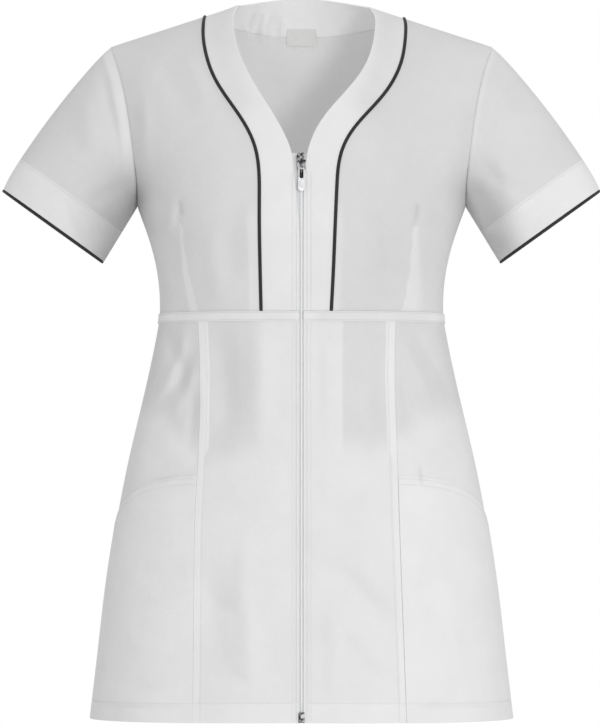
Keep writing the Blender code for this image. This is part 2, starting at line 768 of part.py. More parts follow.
def falling(mouth, hem):
    """Heights of the skirt rows from the waist past the pocket mouth down to the hem."""
    upper = [blend(WAIST_STRIP_Z, mouth, part) for part in np.linspace(0.0, 1.0, SKIRT_UPPER_ROWS + 1)]
    lower = [blend(mouth, hem, part) for part in np.linspace(0.0, 1.0, SKIRT_LOWER_ROWS + 1)[1:]]
    top = np.full_like(np.asarray(mouth, dtype=float), WAIST_Z)
    return np.stack([top] + upper + lower)


def princess_out(side_name, z):
    return column(PRINCESS, side_name, z)


def centre_skirt_sheet(side_name):
    side = SIDES[side_name]
    part = np.linspace(0.0, 1.0, CENTRE_COLUMNS + 1)
    seam_at_hem = float(princess_out(side_name, HEM_Z))
    hem = hem_height(FRONT, part * seam_at_hem)
    z = falling(np.full_like(part, MOUTH_TOP_Z), hem)
    x = around_body(ZIP_HALF_OPENING, princess_out(side_name, z), part[None, :], z)
    return body_sheet(FRONT, side * x, z)


def side_skirt_sheet(side_name):
    side = SIDES[side_name]
    part = np.linspace(0.0, 1.0, SIDE_COLUMNS + 1)
    mouth = MOUTH_TOP_Z - MOUTH_DROP * part ** MOUTH_CURVE
    seam_at_hem = float(princess_out(side_name, HEM_Z))
    side_at_hem = float(column(BODY, "half_width", HEM_Z))
    hem = hem_height(FRONT, blend(seam_at_hem, side_at_hem, part))
    z = falling(mouth, hem)
    x = around_body(princess_out(side_name, z), column(BODY, "half_width", z), part[None, :], z)
    return body_sheet(FRONT, side * x, z)


def back_skirt_sheet():
    part = np.linspace(0.0, 1.0, BACK_SKIRT_COLUMNS + 1)
    mouth = np.full_like(part, MOUTH_TOP_Z - MOUTH_DROP)
    z = falling(mouth, hem_height(BACK, part))
    x = around_body(0.0, column(BODY, "half_width", z), part[None, :], z)
    half = body_sheet(BACK, x, z)
    return beside(mirrored(half), half)


def build_skirt():
    strip = slice(0, 2)
    for side_name in SIDES:
        centre = centre_skirt_sheet(side_name)
        flank = side_skirt_sheet(side_name)
        wall("skirt_centre_" + side_name, drawn_in(centre, high=0.0, first=0.0), 0.0, -WALL, "white cloth")
        wall("skirt_side_" + side_name, drawn_in(flank, high=0.0), 0.0, -WALL, "white cloth")
        pocket = part_of(flank, rows=slice(SKIRT_UPPER_ROWS + 1, None))
        wall("pocket_" + side_name, drawn_in(pocket, low=0.0, high=0.0),
             SEAM_GAP + WALL, SEAM_GAP, "white cloth")
        waist = beside(part_of(centre, rows=strip), part_of(flank, rows=strip))
        wall("waist_strip_" + side_name, drawn_in(waist, high=0.0, first=0.0),
             SEAM_GAP + STRIP_WALL, SEAM_GAP, "white cloth")
    back = back_skirt_sheet()
    wall("skirt_back", drawn_in(back, high=0.0), 0.0, -WALL, "white cloth")
    wall("waist_strip_back", drawn_in(part_of(back, rows=strip), high=0.0),
         SEAM_GAP + STRIP_WALL, SEAM_GAP, "white cloth")


# Zip

def zip_frame(height):
    """Place on the middle of the front, with X across, Y up along the zip and Z out of the cloth."""
    centre = body_point(FRONT, 0.0, height)
    above = body_point(FRONT, 0.0, height + METAL_REACH)
    upward = Vector(above - body_point(FRONT, 0.0, height - METAL_REACH)).normalized()
    across = Vector((1.0, 0.0, 0.0))
    outward = across.cross(upward)
    turn = Matrix((across, upward, outward)).transposed().to_4x4()
    return Matrix.Translation(Vector(centre) * MM) @ turn


def bevelled(shape, width):
    rims = [edge for edge in shape.edges if edge.calc_face_angle(0.0) > SHARP_CORNER]
    bmesh.ops.bevel(shape, geom=rims, offset=width * MM, segments=2, profile=0.5, affect="EDGES")


def prism(name, outline, low, high, frame, sideways=False, bevel=PLATE_BEVEL):
    """Plate of a flat outline, or with sideways a profile of the height and the outward way."""
    shape = bmesh.new()
    loops = []
    for level in (low, high):
        if sideways:
            places = [(level, up, out) for up, out in outline]
        else:
            places = [(across, up, level) for across, up in outline]
        loops.append([shape.verts.new(Vector(place) * MM) for place in places])
    shape.faces.new(loops[0])
    shape.faces.new(loops[1])
    count = len(outline)
    for step in range(count):
        after = (step + 1) % count
        shape.faces.new((loops[0][step], loops[0][after], loops[1][after], loops[1][step]))
    bmesh.ops.recalc_face_normals(shape, faces=shape.faces)
    if bevel:
        bevelled(shape, bevel)
    shape.transform(frame)
    mesh = bpy.data.meshes.new(name)
    shape.to_mesh(mesh)
    shape.free()
    return new_object(name, mesh, "nickel")


def joined(main, others):
    """One body from several that run into each other."""
    for other in others:
        other.hide_render = True
        other.display_type = "WIRE"
        union = main.modifiers.new("join " + other.name, "BOOLEAN")
        union.operation = "UNION"
        union.solver = "EXACT"
        union.object = other


def build_slider():
    """Slider: a plate in front of the cloth and one behind the tapes, a post and an arched bridge."""
    frame = zip_frame(SLIDER_Z)
    behind = WALL + SEAM_GAP + TAPE_WALL + SEAM_GAP
    front = prism("zip_slider", SHIELD, SEAM_GAP, PLATE_TOP, frame)
    rear = prism("slider rear plate", SHIELD, -behind - PLATE_WALL, -behind, frame)
    post = prism("slider post", POST, -behind - PLATE_SINK, CORE_TOP, frame, bevel=0.0)
    bridge = prism("slider bridge", BRIDGE, -BRIDGE_HALF_WIDTH, BRIDGE_HALF_WIDTH, frame,
                   sideways=True, bevel=0.0)
    joined(front, (rear, post, bridge))


def build_tab():
    """Pull tab with a window, hung on the slider's bridge and turning about the world's X."""
    frame = zip_frame(SLIDER_Z)
    axis = Vector((0.0, TAB_AXIS_UP * MM, TAB_AXIS_OUT * MM))
    shape = bmesh.new()
    rings = []
    for outline in (TAB_OUTLINE, TAB_WINDOW):
        for level in (-TAB_HALF_WALL, TAB_HALF_WALL):
            rings.append([shape.verts.new(Vector((across, up, level)) * MM) for across, up in outline])
    outer_low, outer_high, inner_low, inner_high = rings
    count = len(TAB_OUTLINE)
    for step in range(count):
        after = (step + 1) % count
        for first, second in ((outer_low, outer_high), (inner_low, inner_high),
                              (outer_low, inner_low), (outer_high, inner_high)):
            shape.faces.new((first[step], first[after], second[after], second[step]))
    bmesh.ops.recalc_face_normals(shape, faces=shape.faces)
    bevelled(shape, TAB_BEVEL)
    place = frame @ Matrix.Translation(axis)
    shape.transform(place.to_3x3().to_4x4())
    mesh = bpy.data.meshes.new("zip_pull_tab")
    shape.to_mesh(mesh)
    shape.free()
    tab = new_object("zip_pull_tab", mesh, "nickel")
    tab.location = place.to_translation()


def rectangle(half_width, half_height):
    return ((-half_width, -half_height), (-half_width, half_height), (half_width, half_height),
            (half_width, -half_height))


def build_box():
    """Metal box that closes the zip at the hem, with a web between the two cloth edges."""
    hem = float(hem_height(FRONT, 0.0))
    half = BOX_HEIGHT / 2
    frame = zip_frame(hem + half + BOX_ABOVE_HEM)
    face = rectangle(BOX_HALF_WIDTH, half)
    web = rectangle(WEB_HALF_WIDTH, half - WEB_INSET)
    behind = WALL + SEAM_GAP
    front = prism("zip_box", face, SEAM_GAP, PLATE_TOP, frame)
    rear = prism("box rear plate", face, -behind - PLATE_WALL, -behind, frame)
    core = prism("box web", web, -behind - PLATE_SINK, CORE_TOP, frame, bevel=0.0)
    joined(front, (rear, core))


def build_tapes():
    """Tape behind each front edge, from the box up past the slider."""
    hem = float(hem_height(FRONT, 0.0))
    skirt_z = falling(np.array([MOUTH_TOP_Z]), np.array([hem]))[:0:-1, 0]
    band_z = seam_heights()
    bottom = hem + BOX_HEIGHT + 2.0 * BOX_ABOVE_HEM
    skirt_z = skirt_z[skirt_z > bottom + LEAST_TAPE_ROW]
    heights = np.concatenate([[bottom], skirt_z, band_z[band_z < TAPE_TOP_Z]])
    heights = np.unique(np.concatenate([heights, [WAIST_Z, SLIDER_SPREAD_Z, TAPE_TOP_Z]]))
    spread = np.clip((heights - SLIDER_SPREAD_Z) / (TAPE_TOP_Z - SLIDER_SPREAD_Z), 0.0, 1.0)
    inner = TAPE_INNER + TAPE_SPREAD * spread
    for side_name, side in SIDES.items():
        x = np.stack([inner, inner + TAPE_WIDTH], axis=1)
        z = np.repeat(heights[:, None], 2, axis=1)
        sheet = body_sheet(FRONT, side * x, z)
        inside = -WALL - SEAM_GAP
        wall("zip_tape_" + side_name, sheet, inside, inside - TAPE_WALL, "zip tape")


def build():
    clear_scene()
    build_bodice()
    build_neck()
    build_skirt()
    build_tapes()
    build_slider()
    build_tab()
    build_box()


build()
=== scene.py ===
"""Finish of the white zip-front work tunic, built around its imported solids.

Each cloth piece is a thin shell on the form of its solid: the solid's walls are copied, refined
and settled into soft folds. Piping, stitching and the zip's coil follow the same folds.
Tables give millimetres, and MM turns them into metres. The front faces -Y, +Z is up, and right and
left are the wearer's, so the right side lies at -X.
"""

import json
import math
from collections import namedtuple

import bmesh
import bpy
import numpy as np
from bpy.props import FloatProperty, FloatVectorProperty, PointerProperty
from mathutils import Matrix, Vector
from mathutils.bvhtree import BVHTree

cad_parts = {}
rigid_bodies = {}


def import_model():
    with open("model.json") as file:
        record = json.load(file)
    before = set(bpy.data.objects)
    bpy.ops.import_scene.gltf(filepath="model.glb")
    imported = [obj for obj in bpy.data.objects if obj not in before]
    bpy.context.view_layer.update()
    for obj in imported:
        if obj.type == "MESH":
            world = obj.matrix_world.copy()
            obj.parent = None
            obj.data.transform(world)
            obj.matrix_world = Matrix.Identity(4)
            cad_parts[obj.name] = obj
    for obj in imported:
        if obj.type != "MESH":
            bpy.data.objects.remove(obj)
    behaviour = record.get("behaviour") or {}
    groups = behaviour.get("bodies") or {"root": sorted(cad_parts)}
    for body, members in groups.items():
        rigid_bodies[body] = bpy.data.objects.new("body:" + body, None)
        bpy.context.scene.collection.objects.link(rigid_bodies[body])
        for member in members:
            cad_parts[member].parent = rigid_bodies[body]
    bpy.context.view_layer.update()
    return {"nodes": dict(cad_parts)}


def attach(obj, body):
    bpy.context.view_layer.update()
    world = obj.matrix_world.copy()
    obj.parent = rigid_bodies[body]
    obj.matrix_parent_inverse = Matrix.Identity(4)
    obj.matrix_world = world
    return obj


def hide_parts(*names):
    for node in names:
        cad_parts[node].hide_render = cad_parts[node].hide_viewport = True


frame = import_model()

bl_info = {
    "name": "Work Tunic Finish",
    "version": (1, 0, 0),
    "blender": (4, 5, 0),
    "location": "View3D > Sidebar > Tunic",
    "description": "Builds the cloth, trim and zip of a white work tunic around its solids",
    "category": "Object",
}

MM = 0.001
SIDES = {"right": -1, "left": 1}
BODY = "tunic"

# Copying a solid's walls
MERGE = 0.01
QUAD_ANGLE = math.radians(60.0)
RIM_ANGLE = math.radians(50.0)
FINE = 3
MEDIUM = 2
CLOTH_SHARP = 40.0
SMALL_SHARP = 60.0
INNER_FACE_BLUR = 0.3
WEAVE_RADIUS_OF_SLEEVE = 55.0
WEAVE_RADIUS_OF_BODY = 150.0

# Heights
WAIST_Z = -293.0
STRIP_Z = -303.5
HEM_Z = -717.0
HEM_RISE_AT_FRONT = 2.5
HEM_HALF_WIDTH = 221.0
HEM_DEPTH = 20.0

# Sleeve: middle of the hem, and its slope from the level
SLEEVE_OUT = 260.0
SLEEVE_Z = -200.0
SLEEVE_SLOPE = math.radians(35.6)
SLEEVE_HEM_DEPTH = 36.0
SLEEVE_STITCH_RISE = 34.0

# Seams seen from the front: places across and heights
BAND_SEAM = {
    "right": ((-98.0, -30.0), (-91.0, -50.0), (-80.5, -68.0), (-68.8, -84.0), (-58.5, -100.0),
              (-50.5, -115.0), (-46.3, -128.0), (-44.0, -143.0), (-43.1, -165.0), (-43.3, -208.0),
              (-42.6, -250.0), (-41.6, -293.0)),
    "left": ((104.5, -30.0), (97.0, -50.0), (86.0, -68.0), (71.8, -84.0), (57.0, -100.0),
             (46.2, -115.0), (40.8, -128.0), (37.6, -143.0), (36.2, -165.0), (34.4, -208.0),
             (32.8, -250.0), (30.6, -293.0)),
}
PRINCESS = {
    "right": ((-107.4, -293.0), (-104.6, -359.0), (-105.4, -426.0), (-109.6, -510.0), (-110.3, -592.0),
              (-111.2, -722.0)),
    "left": ((97.6, -293.0), (96.0, -359.0), (98.0, -426.0), (100.2, -510.0), (103.0, -592.0),
             (107.6, -722.0)),
}
ARMHOLE_LINE = ((200.5, -13.0), (197.0, -22.0), (189.6, -44.0), (184.0, -68.0), (179.3, -95.0),
                (175.6, -124.0), (173.2, -144.0), (171.8, -166.0), (172.3, -181.0))
ARMHOLE = {name: [(side * x, z) for x, z in ARMHOLE_LINE] for name, side in SIDES.items()}
DART = {
    "right": ((-106.1, -294.0), (-109.7, -281.7), (-117.4, -250.9), (-122.4, -218.1), (-126.0, -185.2)),
    "left": ((103.0, -294.0), (106.6, -281.7), (111.7, -250.9), (114.2, -220.2), (119.3, -186.9)),
}
MOUTH_TOP_Z = -463.0
MOUTH_DROP = 51.0
MOUTH_CURVE = 2.1

# Doubled cloth: widths of the seam allowances and facings that lie flat behind the panels
BAND_ALLOWANCE = {"right": 12.0, "left": 8.0}
BAND_ALLOWANCE_TOP_Z = -170.0
BAND_FADE = 40.0
SLEEVE_HEAD_ALLOWANCE = {"right": 11.0, "left": 5.0}
HEAD_FADE = (-152.0, -112.0)
PRINCESS_ALLOWANCE = 10.0
PRINCESS_ALLOWANCE_LOW = 6.0
PRINCESS_NARROWS_Z = -440.0
PRINCESS_STEP = 6.0
DART_ALLOWANCE = {"right": 10.0, "left": 26.0}
DART_BLUR = {"right": 2.0, "left": 15.0}
DART_EDGE = 0.6
DART_EDGE_INSIDE = 0.4
DART_START = 0.15
FACING_WIDTH = {"right": 44.0, "left": 42.5}
FACING_BLUR = {"right": 9.0, "left": 1.2}
SIDE_ALLOWANCE = 9.0
ALLOWANCE_BLUR = 2.0
ALL_DOUBLED = -20.0
NONE_NEAR = 60.0
ALLOWANCE_RISE = 0.5
ALLOWANCE_EDGE = 1.6

# Share of doubled cloth's brightness: band seam, dart, facings with the painted light below the hips,
# sleeve head
BAND_SHARE = 0.6
DART_SHARE = 0.75
HIP_LIGHT_AND_FACING_SHARE = 0.75
HEAD_SHARE = {"right": 0.8, "left": 0.35}

# Folds: a soft ridge or, with a negative rise, a trough along a line of places across and heights
Fold = namedtuple("Fold", "rise width line")
FRONT_FOLDS = (
    # Right sleeve
    Fold(-2.2, 6, ((-210, -34), (-202, -72), (-192, -112), (-184, -140))),
    Fold(2.6, 13, ((-226, -60), (-222, -95), (-214, -130))),
    Fold(-5.5, 13, ((-172, -150), (-188, -172), (-206, -200), (-216, -228))),
    Fold(-3, 9, ((-186, -158), (-214, -176), (-240, -184))),
    Fold(2.2, 8, ((-196, -214), (-216, -190), (-240, -166))),
    Fold(-1.6, 7, ((-226, -222), (-238, -205), (-246, -186))),
    # Left sleeve
    Fold(-1.6, 7, ((208, -40), (200, -76), (192, -112))),
    Fold(-5.5, 13, ((172, -150), (188, -176), (200, -206), (206, -230))),
    Fold(2.6, 11, ((226, -196), (214, -160), (204, -120))),
    Fold(-2.4, 8, ((184, -140), (206, -156), (232, -168))),
    Fold(-1.4, 7, ((236, -214), (246, -192), (258, -172))),
    # Right chest
    Fold(2, 8, ((-164, -60), (-162, -100), (-164, -140))),
    Fold(-1.8, 10, ((-168, -160), (-150, -178), (-128, -188))),
    Fold(-1.6, 11, ((-150, -30), (-132, -62), (-112, -96))),
    Fold(1.6, 9, ((-122, -20), (-106, -54), (-92, -84))),
    Fold(-1.5, 3.2, ((-124.5, -178), (-126.5, -192), (-129, -206))),
    Fold(1.4, 5.5, ((-134, -176), (-136, -196), (-138, -214))),
    Fold(-1.8, 12, ((-66, -180), (-72, -220), (-70, -268))),
    Fold(1.8, 10, ((-92, -210), (-90, -244), (-84, -282))),
    # Left chest
    Fold(2.4, 12, ((170, -70), (164, -104), (156, -140))),
    Fold(-1.8, 10, ((152, -40), (138, -76), (122, -112))),
    Fold(1.6, 9, ((160, -168), (140, -160), (114, -146))),
    Fold(-1.8, 11, ((132, -110), (100, -128), (66, -136))),
    Fold(-1.3, 3.2, ((118, -180), (119.5, -194), (120.5, -206))),
    Fold(-2, 12, ((62, -176), (72, -216), (72, -270))),
    Fold(1.6, 9, ((92, -196), (90, -236), (86, -280))),
    # Right skirt below the waist
    Fold(-3.6, 8, ((-146, -306), (-134, -330), (-124, -356), (-122, -392))),
    Fold(2.6, 6, ((-120, -308), (-124, -332), (-136, -362), (-150, -388))),
    Fold(-3, 7, ((-112, -330), (-122, -356), (-142, -382), (-156, -396))),
    Fold(2.4, 6, ((-112, -352), (-118, -374), (-132, -400))),
    Fold(-2.8, 6, ((-110, -372), (-112, -398), (-114, -428))),
    Fold(-4.4, 14, ((-84, -308), (-80, -350), (-78, -398), (-84, -430))),
    Fold(2.6, 15, ((-46, -316), (-42, -360), (-44, -410))),
    # Left skirt below the waist
    Fold(-3.6, 8, ((112, -308), (126, -330), (144, -360), (158, -392))),
    Fold(2.4, 6, ((106, -326), (118, -352), (134, -384))),
    Fold(-3, 7, ((104, -356), (108, -384), (114, -414))),
    Fold(2, 6, ((140, -308), (150, -334), (158, -356))),
    Fold(-4.4, 14, ((70, -308), (66, -350), (66, -398), (72, -432))),
    Fold(2.4, 15, ((32, -316), (30, -360), (32, -410))),
    # Hips and pocket mouths
    Fold(2.2, 14, ((-150, -420), (-132, -440), (-112, -452))),
    Fold(2.2, 14, ((150, -424), (128, -440), (104, -448))),
    Fold(1.8, 20, ((-86, -470), (-46, -476), (-12, -466))),
    Fold(1.8, 20, ((82, -468), (44, -476), (12, -466))),
    Fold(-1.8, 3.4, ((118, -446), (121, -456), (124, -466), (140, -474))),
    Fold(-1.2, 3, ((-114, -466), (-132, -474), (-150, -480))),
    # Lower skirt
    Fold(-1.8, 13, ((-94, -560), (-90, -600), (-80, -640), (-78, -668))),
    Fold(2, 10, ((-58, -520), (-60, -570), (-54, -630), (-50, -690))),
    Fold(-2.2, 10, ((-96, -590), (-66, -606), (-36, -596))),
    Fold(-1.8, 8, ((-92, -676), (-72, -668), (-48, -676))),
    Fold(-2.4, 10, ((20, -556), (46, -566), (66, -590), (88, -616))),
    Fold(2, 10, ((36, -596), (56, -626), (82, -650))),
    Fold(-2, 9, ((60, -660), (80, -668), (98, -676))),
    Fold(1.8, 9, ((30, -690), (36, -640), (30, -600))),
    Fold(-1.8, 12, ((-170, -560), (-146, -568), (-118, -560))),
    Fold(1.6, 12, ((-186, -620), (-160, -640), (-130, -640))),
    Fold(-1.4, 10, ((-190, -676), (-156, -684), (-124, -678))),
    Fold(1.6, 12, ((124, -560), (150, -580), (184, -580))),
    Fold(-1.6, 10, ((130, -640), (160, -650), (196, -640))),
    Fold(-1.4, 3, ((-208, -699.5), (-160, -701.5), (-118, -699))),
    Fold(-1.4, 3, ((208, -699.5), (164, -701.5), (118, -699.5))),
    Fold(1.5, 6, ((118, -696), (138, -690), (156, -682))),
)
BACK_FOLDS = (
    Fold(-2.4, 12, ((-160, -140), (-140, -166), (-112, -186))),
    Fold(-2.4, 12, ((162, -136), (138, -164), (108, -180))),
    Fold(2.2, 11, ((-150, -60), (-142, -104), (-136, -140))),
    Fold(2.2, 11, ((152, -64), (142, -104), (140, -142))),
    Fold(-3.4, 10, ((-96, -210), (-62, -232), (-24, -238))),
    Fold(-3, 10, ((100, -226), (66, -246), (30, -250))),
    Fold(2.8, 9, ((-112, -236), (-74, -262), (-34, -268))),
    Fold(2.6, 9, ((108, -250), (72, -270), (40, -278))),
    Fold(-2.2, 14, ((-40, -60), (-16, -100), (6, -150))),
    Fold(-2, 14, ((52, -70), (40, -120), (22, -170))),
    Fold(-3.8, 12, ((-100, -312), (-92, -356), (-98, -410))),
    Fold(3, 12, ((-56, -314), (-58, -360), (-66, -420))),
    Fold(-3.6, 12, ((-18, -312), (-14, -360), (-20, -414))),
    Fold(2.8, 12, ((26, -314), (30, -364), (26, -420))),
    Fold(-3.8, 12, ((68, -312), (72, -352), (82, -404))),
    Fold(2.6, 12, ((112, -314), (118, -350), (132, -396))),
    Fold(-2.6, 14, ((-150, -540), (-118, -566), (-84, -560))),
    Fold(-2.6, 14, ((-20, -600), (-8, -650), (-4, -700))),
    Fold(2.4, 14, ((90, -520), (92, -580), (84, -640))),
    Fold(-2.4, 12, ((120, -560), (150, -590), (176, -640))),
    Fold(-4, 13, ((-172, -150), (-190, -176), (-206, -206))),
    Fold(-4, 13, ((172, -150), (190, -178), (204, -212))),
    Fold(2.2, 11, ((-206, -70), (-212, -112), (-222, -150))),
    Fold(2, 11, ((208, -76), (214, -116), (226, -150))),
)
# Ripples of the back neck band, each with the opposite sense of the back's folds
NECK_RIPPLES = (
    Fold(2.6, 3.4, ((-58, -2), (-60, 14), (-56, 30))),
    Fold(-3, 3, ((-49, -4), (-50, 12), (-46, 28))),
    Fold(2.6, 3.2, ((-40, -5), (-40, 10), (-37, 27))),
    Fold(-2.2, 3.4, ((-30, -5), (-30, 10), (-28, 26))),
    Fold(1.6, 4.2, ((-19, -4), (-19, 10), (-17, 24))),
)

# Shade: soft lines like the folds, with a depth in place of the rise. A negative depth lightens
# Under the arms and along the armholes, front and back
ARM_SHADES = (
    Fold(0.27, 14, ((-174, -176), (-190, -198), (-206, -236))),
    Fold(0.22, 28, ((-184, -166), (-206, -196), (-218, -228))),
    Fold(0.08, 14, ((173, -176), (190, -198), (206, -236))),
    Fold(0.10, 12, ((198, -214), (222, -226))),
    Fold(0.20, 22, ((180, -168), (202, -198), (214, -230))),
    Fold(0.10, 1.5, ((-197, -22), (-189.6, -44), (-184, -68), (-179.3, -95), (-173.2, -144),
                     (-171.8, -172))),
    Fold(0.06, 1.5, ((197, -22), (189.6, -44), (184, -68), (179.3, -95), (173.2, -144), (171.8, -172))),
)
# Between the ripples of the back neck band
NECK_SHADES = (
    Fold(0.10, 2.2, ((-53, 0), (-54, 14), (-50, 26))),
    Fold(0.10, 1.8, ((-44.5, -2), (-44.5, 12), (-41, 26))),
    Fold(0.08, 2, ((-35, -4), (-35, 10), (-32, 24))),
    Fold(0.06, 2.4, ((-25, -2), (-24, 12), (-22, 24))),
)
# On the front alone: chest, dart tips, pocket mouths, waist, hem and the lighter sides
FRONT_SHADES = (
    Fold(0.09, 17, ((-84, 10), (-80, -35), (-64, -72))),
    Fold(0.10, 17, ((91, 10), (86, -35), (68, -74))),
    Fold(0.13, 2.2, ((-125, -181), (-123.5, -192))),
    Fold(0.13, 2.4, ((119.5, -184), (118, -203))),
    Fold(0.06, 1.6, ((-147, -467), (-128, -462.5), (-112, -461))),
    Fold(0.12, 1.8, ((122, -456), (123, -469))),
    Fold(0.04, 14, ((-82, -572), (-80, -650))),
    Fold(0.03, 12, ((58, -565), (88, -600))),
    Fold(0.03, 1.4, ((-208, -700), (-112, -701))),
    Fold(0.03, 1.4, ((208, -700), (112, -701))),
    Fold(0.035, 36, ((122, -60), (108, -150), (80, -280))),
    Fold(0.03, 5, ((-130, -298), (-20, -298))),
    Fold(0.06, 5, ((20, -298), (130, -298))),
    Fold(-0.10, 14, ((-152, -228), (-141, -262), (-138, -290))),
    Fold(-0.05, 14, ((152, -228), (141, -262), (138, -290))),
    Fold(-0.045, 22, ((-137, -325), (-146, -380), (-152, -440))),
)

# How the folds are laid on: the back's share, and where they fade at the sides and beside the zip
BACK_SHARE = 1.3
FOLD_END = 0.02
FOLD_TAPER = 0.55
SIDE_FADE = 22.0
ZIP_CALM = 13.0
ZIP_CALM_FADE = 14.0

# Painted light: the skirt's cloth is lighter below the hips than above them
HIP_LINE = ((-175, -392), (-140, -404), (-112, -432), (-98, -446), (-60, -436), (-20, -420), (0, -416),
            (30, -428), (70, -436), (96, -428), (120, -406), (175, -390))
HIP_BLUR = 18.0

# Cut of each piece: width and length of its cloth, laid flat, and the area that the cut covers
Cut = namedtuple("Cut", "width length area")

# Piping: how far the cord swells out of its solid
FRONT_CORD_SWELL = 0.35
SLEEVE_CORD_SWELL = 0.3

# Stitches: share of a step that the thread fills, shortest span in millimetres and longest in steps
STITCH_SHARE = 0.86
SHORTEST_STITCH = 0.5
LONGEST_STITCH = 3.0
BEAD_BLUNTNESS = 0.6

# Rays that find the cloth
RAY_START_Y = -400.0
RING_RAYS = 121
BODY_REACH = 500.0
SLEEVE_REACH = 150.0
ACROSS = np.array([1.0, 0.0, 0.0])
BACKWARDS = np.array([0.0, 1.0, 0.0])

# Zip
TOOTH_PITCH = 1.5
TOOTH_LENGTH = 2.45
TOOTH_OVERLAP = 0.55
TOOTH_RADIUS = 0.5
TOOTH_STAND = 1.0
HEAD_SWELL = 0.35
HEAD_AT = -0.75
HEAD_WIDTH = 0.25
COIL_TOP_Z = -131.6
COIL_SPREAD_Z = -149.1
COIL_BOTTOM_Z = -703.0
COIL_SPREAD = 3.6
SLIDER_CLEAR = (-151.2, -130.0)
SLIDER_HALF_WIDTH = 2.2
COIL_GLOW = 0.06
WINDOW_Z = -154.5
WINDOW_HALF_HEIGHT = 4.5
WINDOW_HALF_WIDTH = 2.4
WINDOW_BLUR = (0.4, 0.5)

# Cloth's relief: scales of its noises, and heights in millimetres
WEAVE_RATIO = 1.6
CLOUD_SCALE = 26.0
CRUMPLE_SCALE = 95.0
SLUB_SCALE = 900.0
DOUBLED_BLUR = 0.7
GROOVE_SHARPNESS = 1.6
WEAVE_HEIGHT = 0.012
CLOUD_HEIGHT = 1.2
CRUMPLE_HEIGHT = 0.28
GROOVE_DEPTH = 0.22
DOUBLED_HEIGHT = 0.15
CLOTH_ROUGHNESS = 0.82

# Colours of the trim, darker and lighter, and pitches of its weaves in metres
PIPING_SHEEN = 2.2
THREAD_SHADE = 0.86
DEEP_SHADE = (0.03, 0.03, 0.03)
TAPE_COLOURS = ((0.70, 0.71, 0.72), (0.78, 0.79, 0.80))
COIL_COLOURS = ((0.86, 0.865, 0.87), (0.92, 0.925, 0.93))
LABEL_COLOURS = ((0.80, 0.80, 0.79), (0.88, 0.88, 0.87))
# Metal: the first colour is a painted reflection, laid in patches over the second
NICKEL_COLOURS = ((0.06, 0.06, 0.065), (0.62, 0.62, 0.63))
BRIGHT_NICKEL_COLOURS = ((0.90, 0.90, 0.91), (0.97, 0.97, 0.98))
FLOOR_COLOURS = ((0.86, 0.86, 0.86), (0.88, 0.88, 0.88))
TWILL_PITCH = 0.0007
SATIN_PITCH = (0.0005, 0.0009)

# Stage, in metres: each lamp's place, its target and its size
Lamp = namedtuple("Lamp", "place target size")
KEY_LAMP = Lamp((1.1, -3.1, 0.1), (0.05, 0.0, -0.35), 0.6)
TOP_LAMP = Lamp((0.3, -0.5, 2.4), (0.0, 0.0, -0.3), 1.2)
WHITE = (1.0, 1.0, 1.0, 1.0)
FLOOR_Z = -1.25
FLOOR_HALF = 9.0
CAMERA_DISTANCE = 5.0
CAMERA_Z = -0.457
FRAME_HEIGHT = 0.7602
FRAME_MIDDLE_Z = -0.34335
FRAME_MIDDLE_X = -0.0016
SENSOR = 36.0


# Settings that a user can change

class ClothSettings(bpy.types.PropertyGroup):
    single: FloatVectorProperty(name="Single cloth", description="Colour where one layer shows",
                                subtype="COLOR", size=3, default=(0.72, 0.72, 0.72))
    # The doubled colour also gives the painted light on the skirt below the hips
    doubled: FloatVectorProperty(name="Doubled cloth", description="Colour where layers lie on each other",
                                 subtype="COLOR", size=3, default=(0.83, 0.83, 0.83))
    glow: FloatProperty(name="Glow inside", description="Light through the cloth on its inner face",
                        default=0.11, min=0.0)
    thread_pitch: FloatProperty(name="Thread pitch", description="Distance between threads of the weave",
                                default=0.00045, unit="LENGTH")
    fold_share: FloatProperty(name="Folds", description="Share of the drawn height of every fold",
                              default=1.4, min=0.0, max=2.0)


class TrimSettings(bpy.types.PropertyGroup):
    piping: FloatVectorProperty(name="Piping", description="Colour of the piping", subtype="COLOR",
                                size=3, default=(0.010, 0.010, 0.012))
    thread: FloatVectorProperty(name="Thread", description="Colour of the sewing thread",
                                subtype="COLOR", size=3, default=(0.80, 0.80, 0.81))
    stitch: FloatProperty(name="Stitch", description="Length of one stitch", default=0.0025,
                          unit="LENGTH")
    thread_radius: FloatProperty(name="Thread radius", description="Half the thread's thickness",
                                 default=0.0002, unit="LENGTH")


class StageSettings(bpy.types.PropertyGroup):
    world: FloatProperty(name="Room light", description="Strength of the even light all round",
                         default=0.69, min=0.0)
    key: FloatProperty(name="Key light", description="Power of the large light at the front",
                       default=28.0, min=0.0, unit="POWER")
    top: FloatProperty(name="Top light", description="Power of the light above",
                       default=3.0, min=0.0, unit="POWER")


# Small helpers

def pick(*things):
    """Selects these objects alone and makes the first one active."""
    bpy.ops.object.select_all(action="DESELECT")
    for thing in things:
        thing.select_set(True)
    bpy.context.view_layer.objects.active = things[0]


def vertex_places(mesh):
    """Places of a mesh's vertices in millimetres, a row each."""
    places = np.empty(len(mesh.vertices) * 3)
    mesh.vertices.foreach_get("co", places)
    return places.reshape(-1, 3) / MM


def set_vertex_places(mesh, places):
    mesh.vertices.foreach_set("co", (places * MM).ravel())
    mesh.update()


def smooth(value, low, high):
    """0 below low and 1 above high, with a soft step between them."""
    share = np.clip((value - low) / (high - low), 0.0, 1.0)
    return share * share * (3.0 - 2.0 * share)


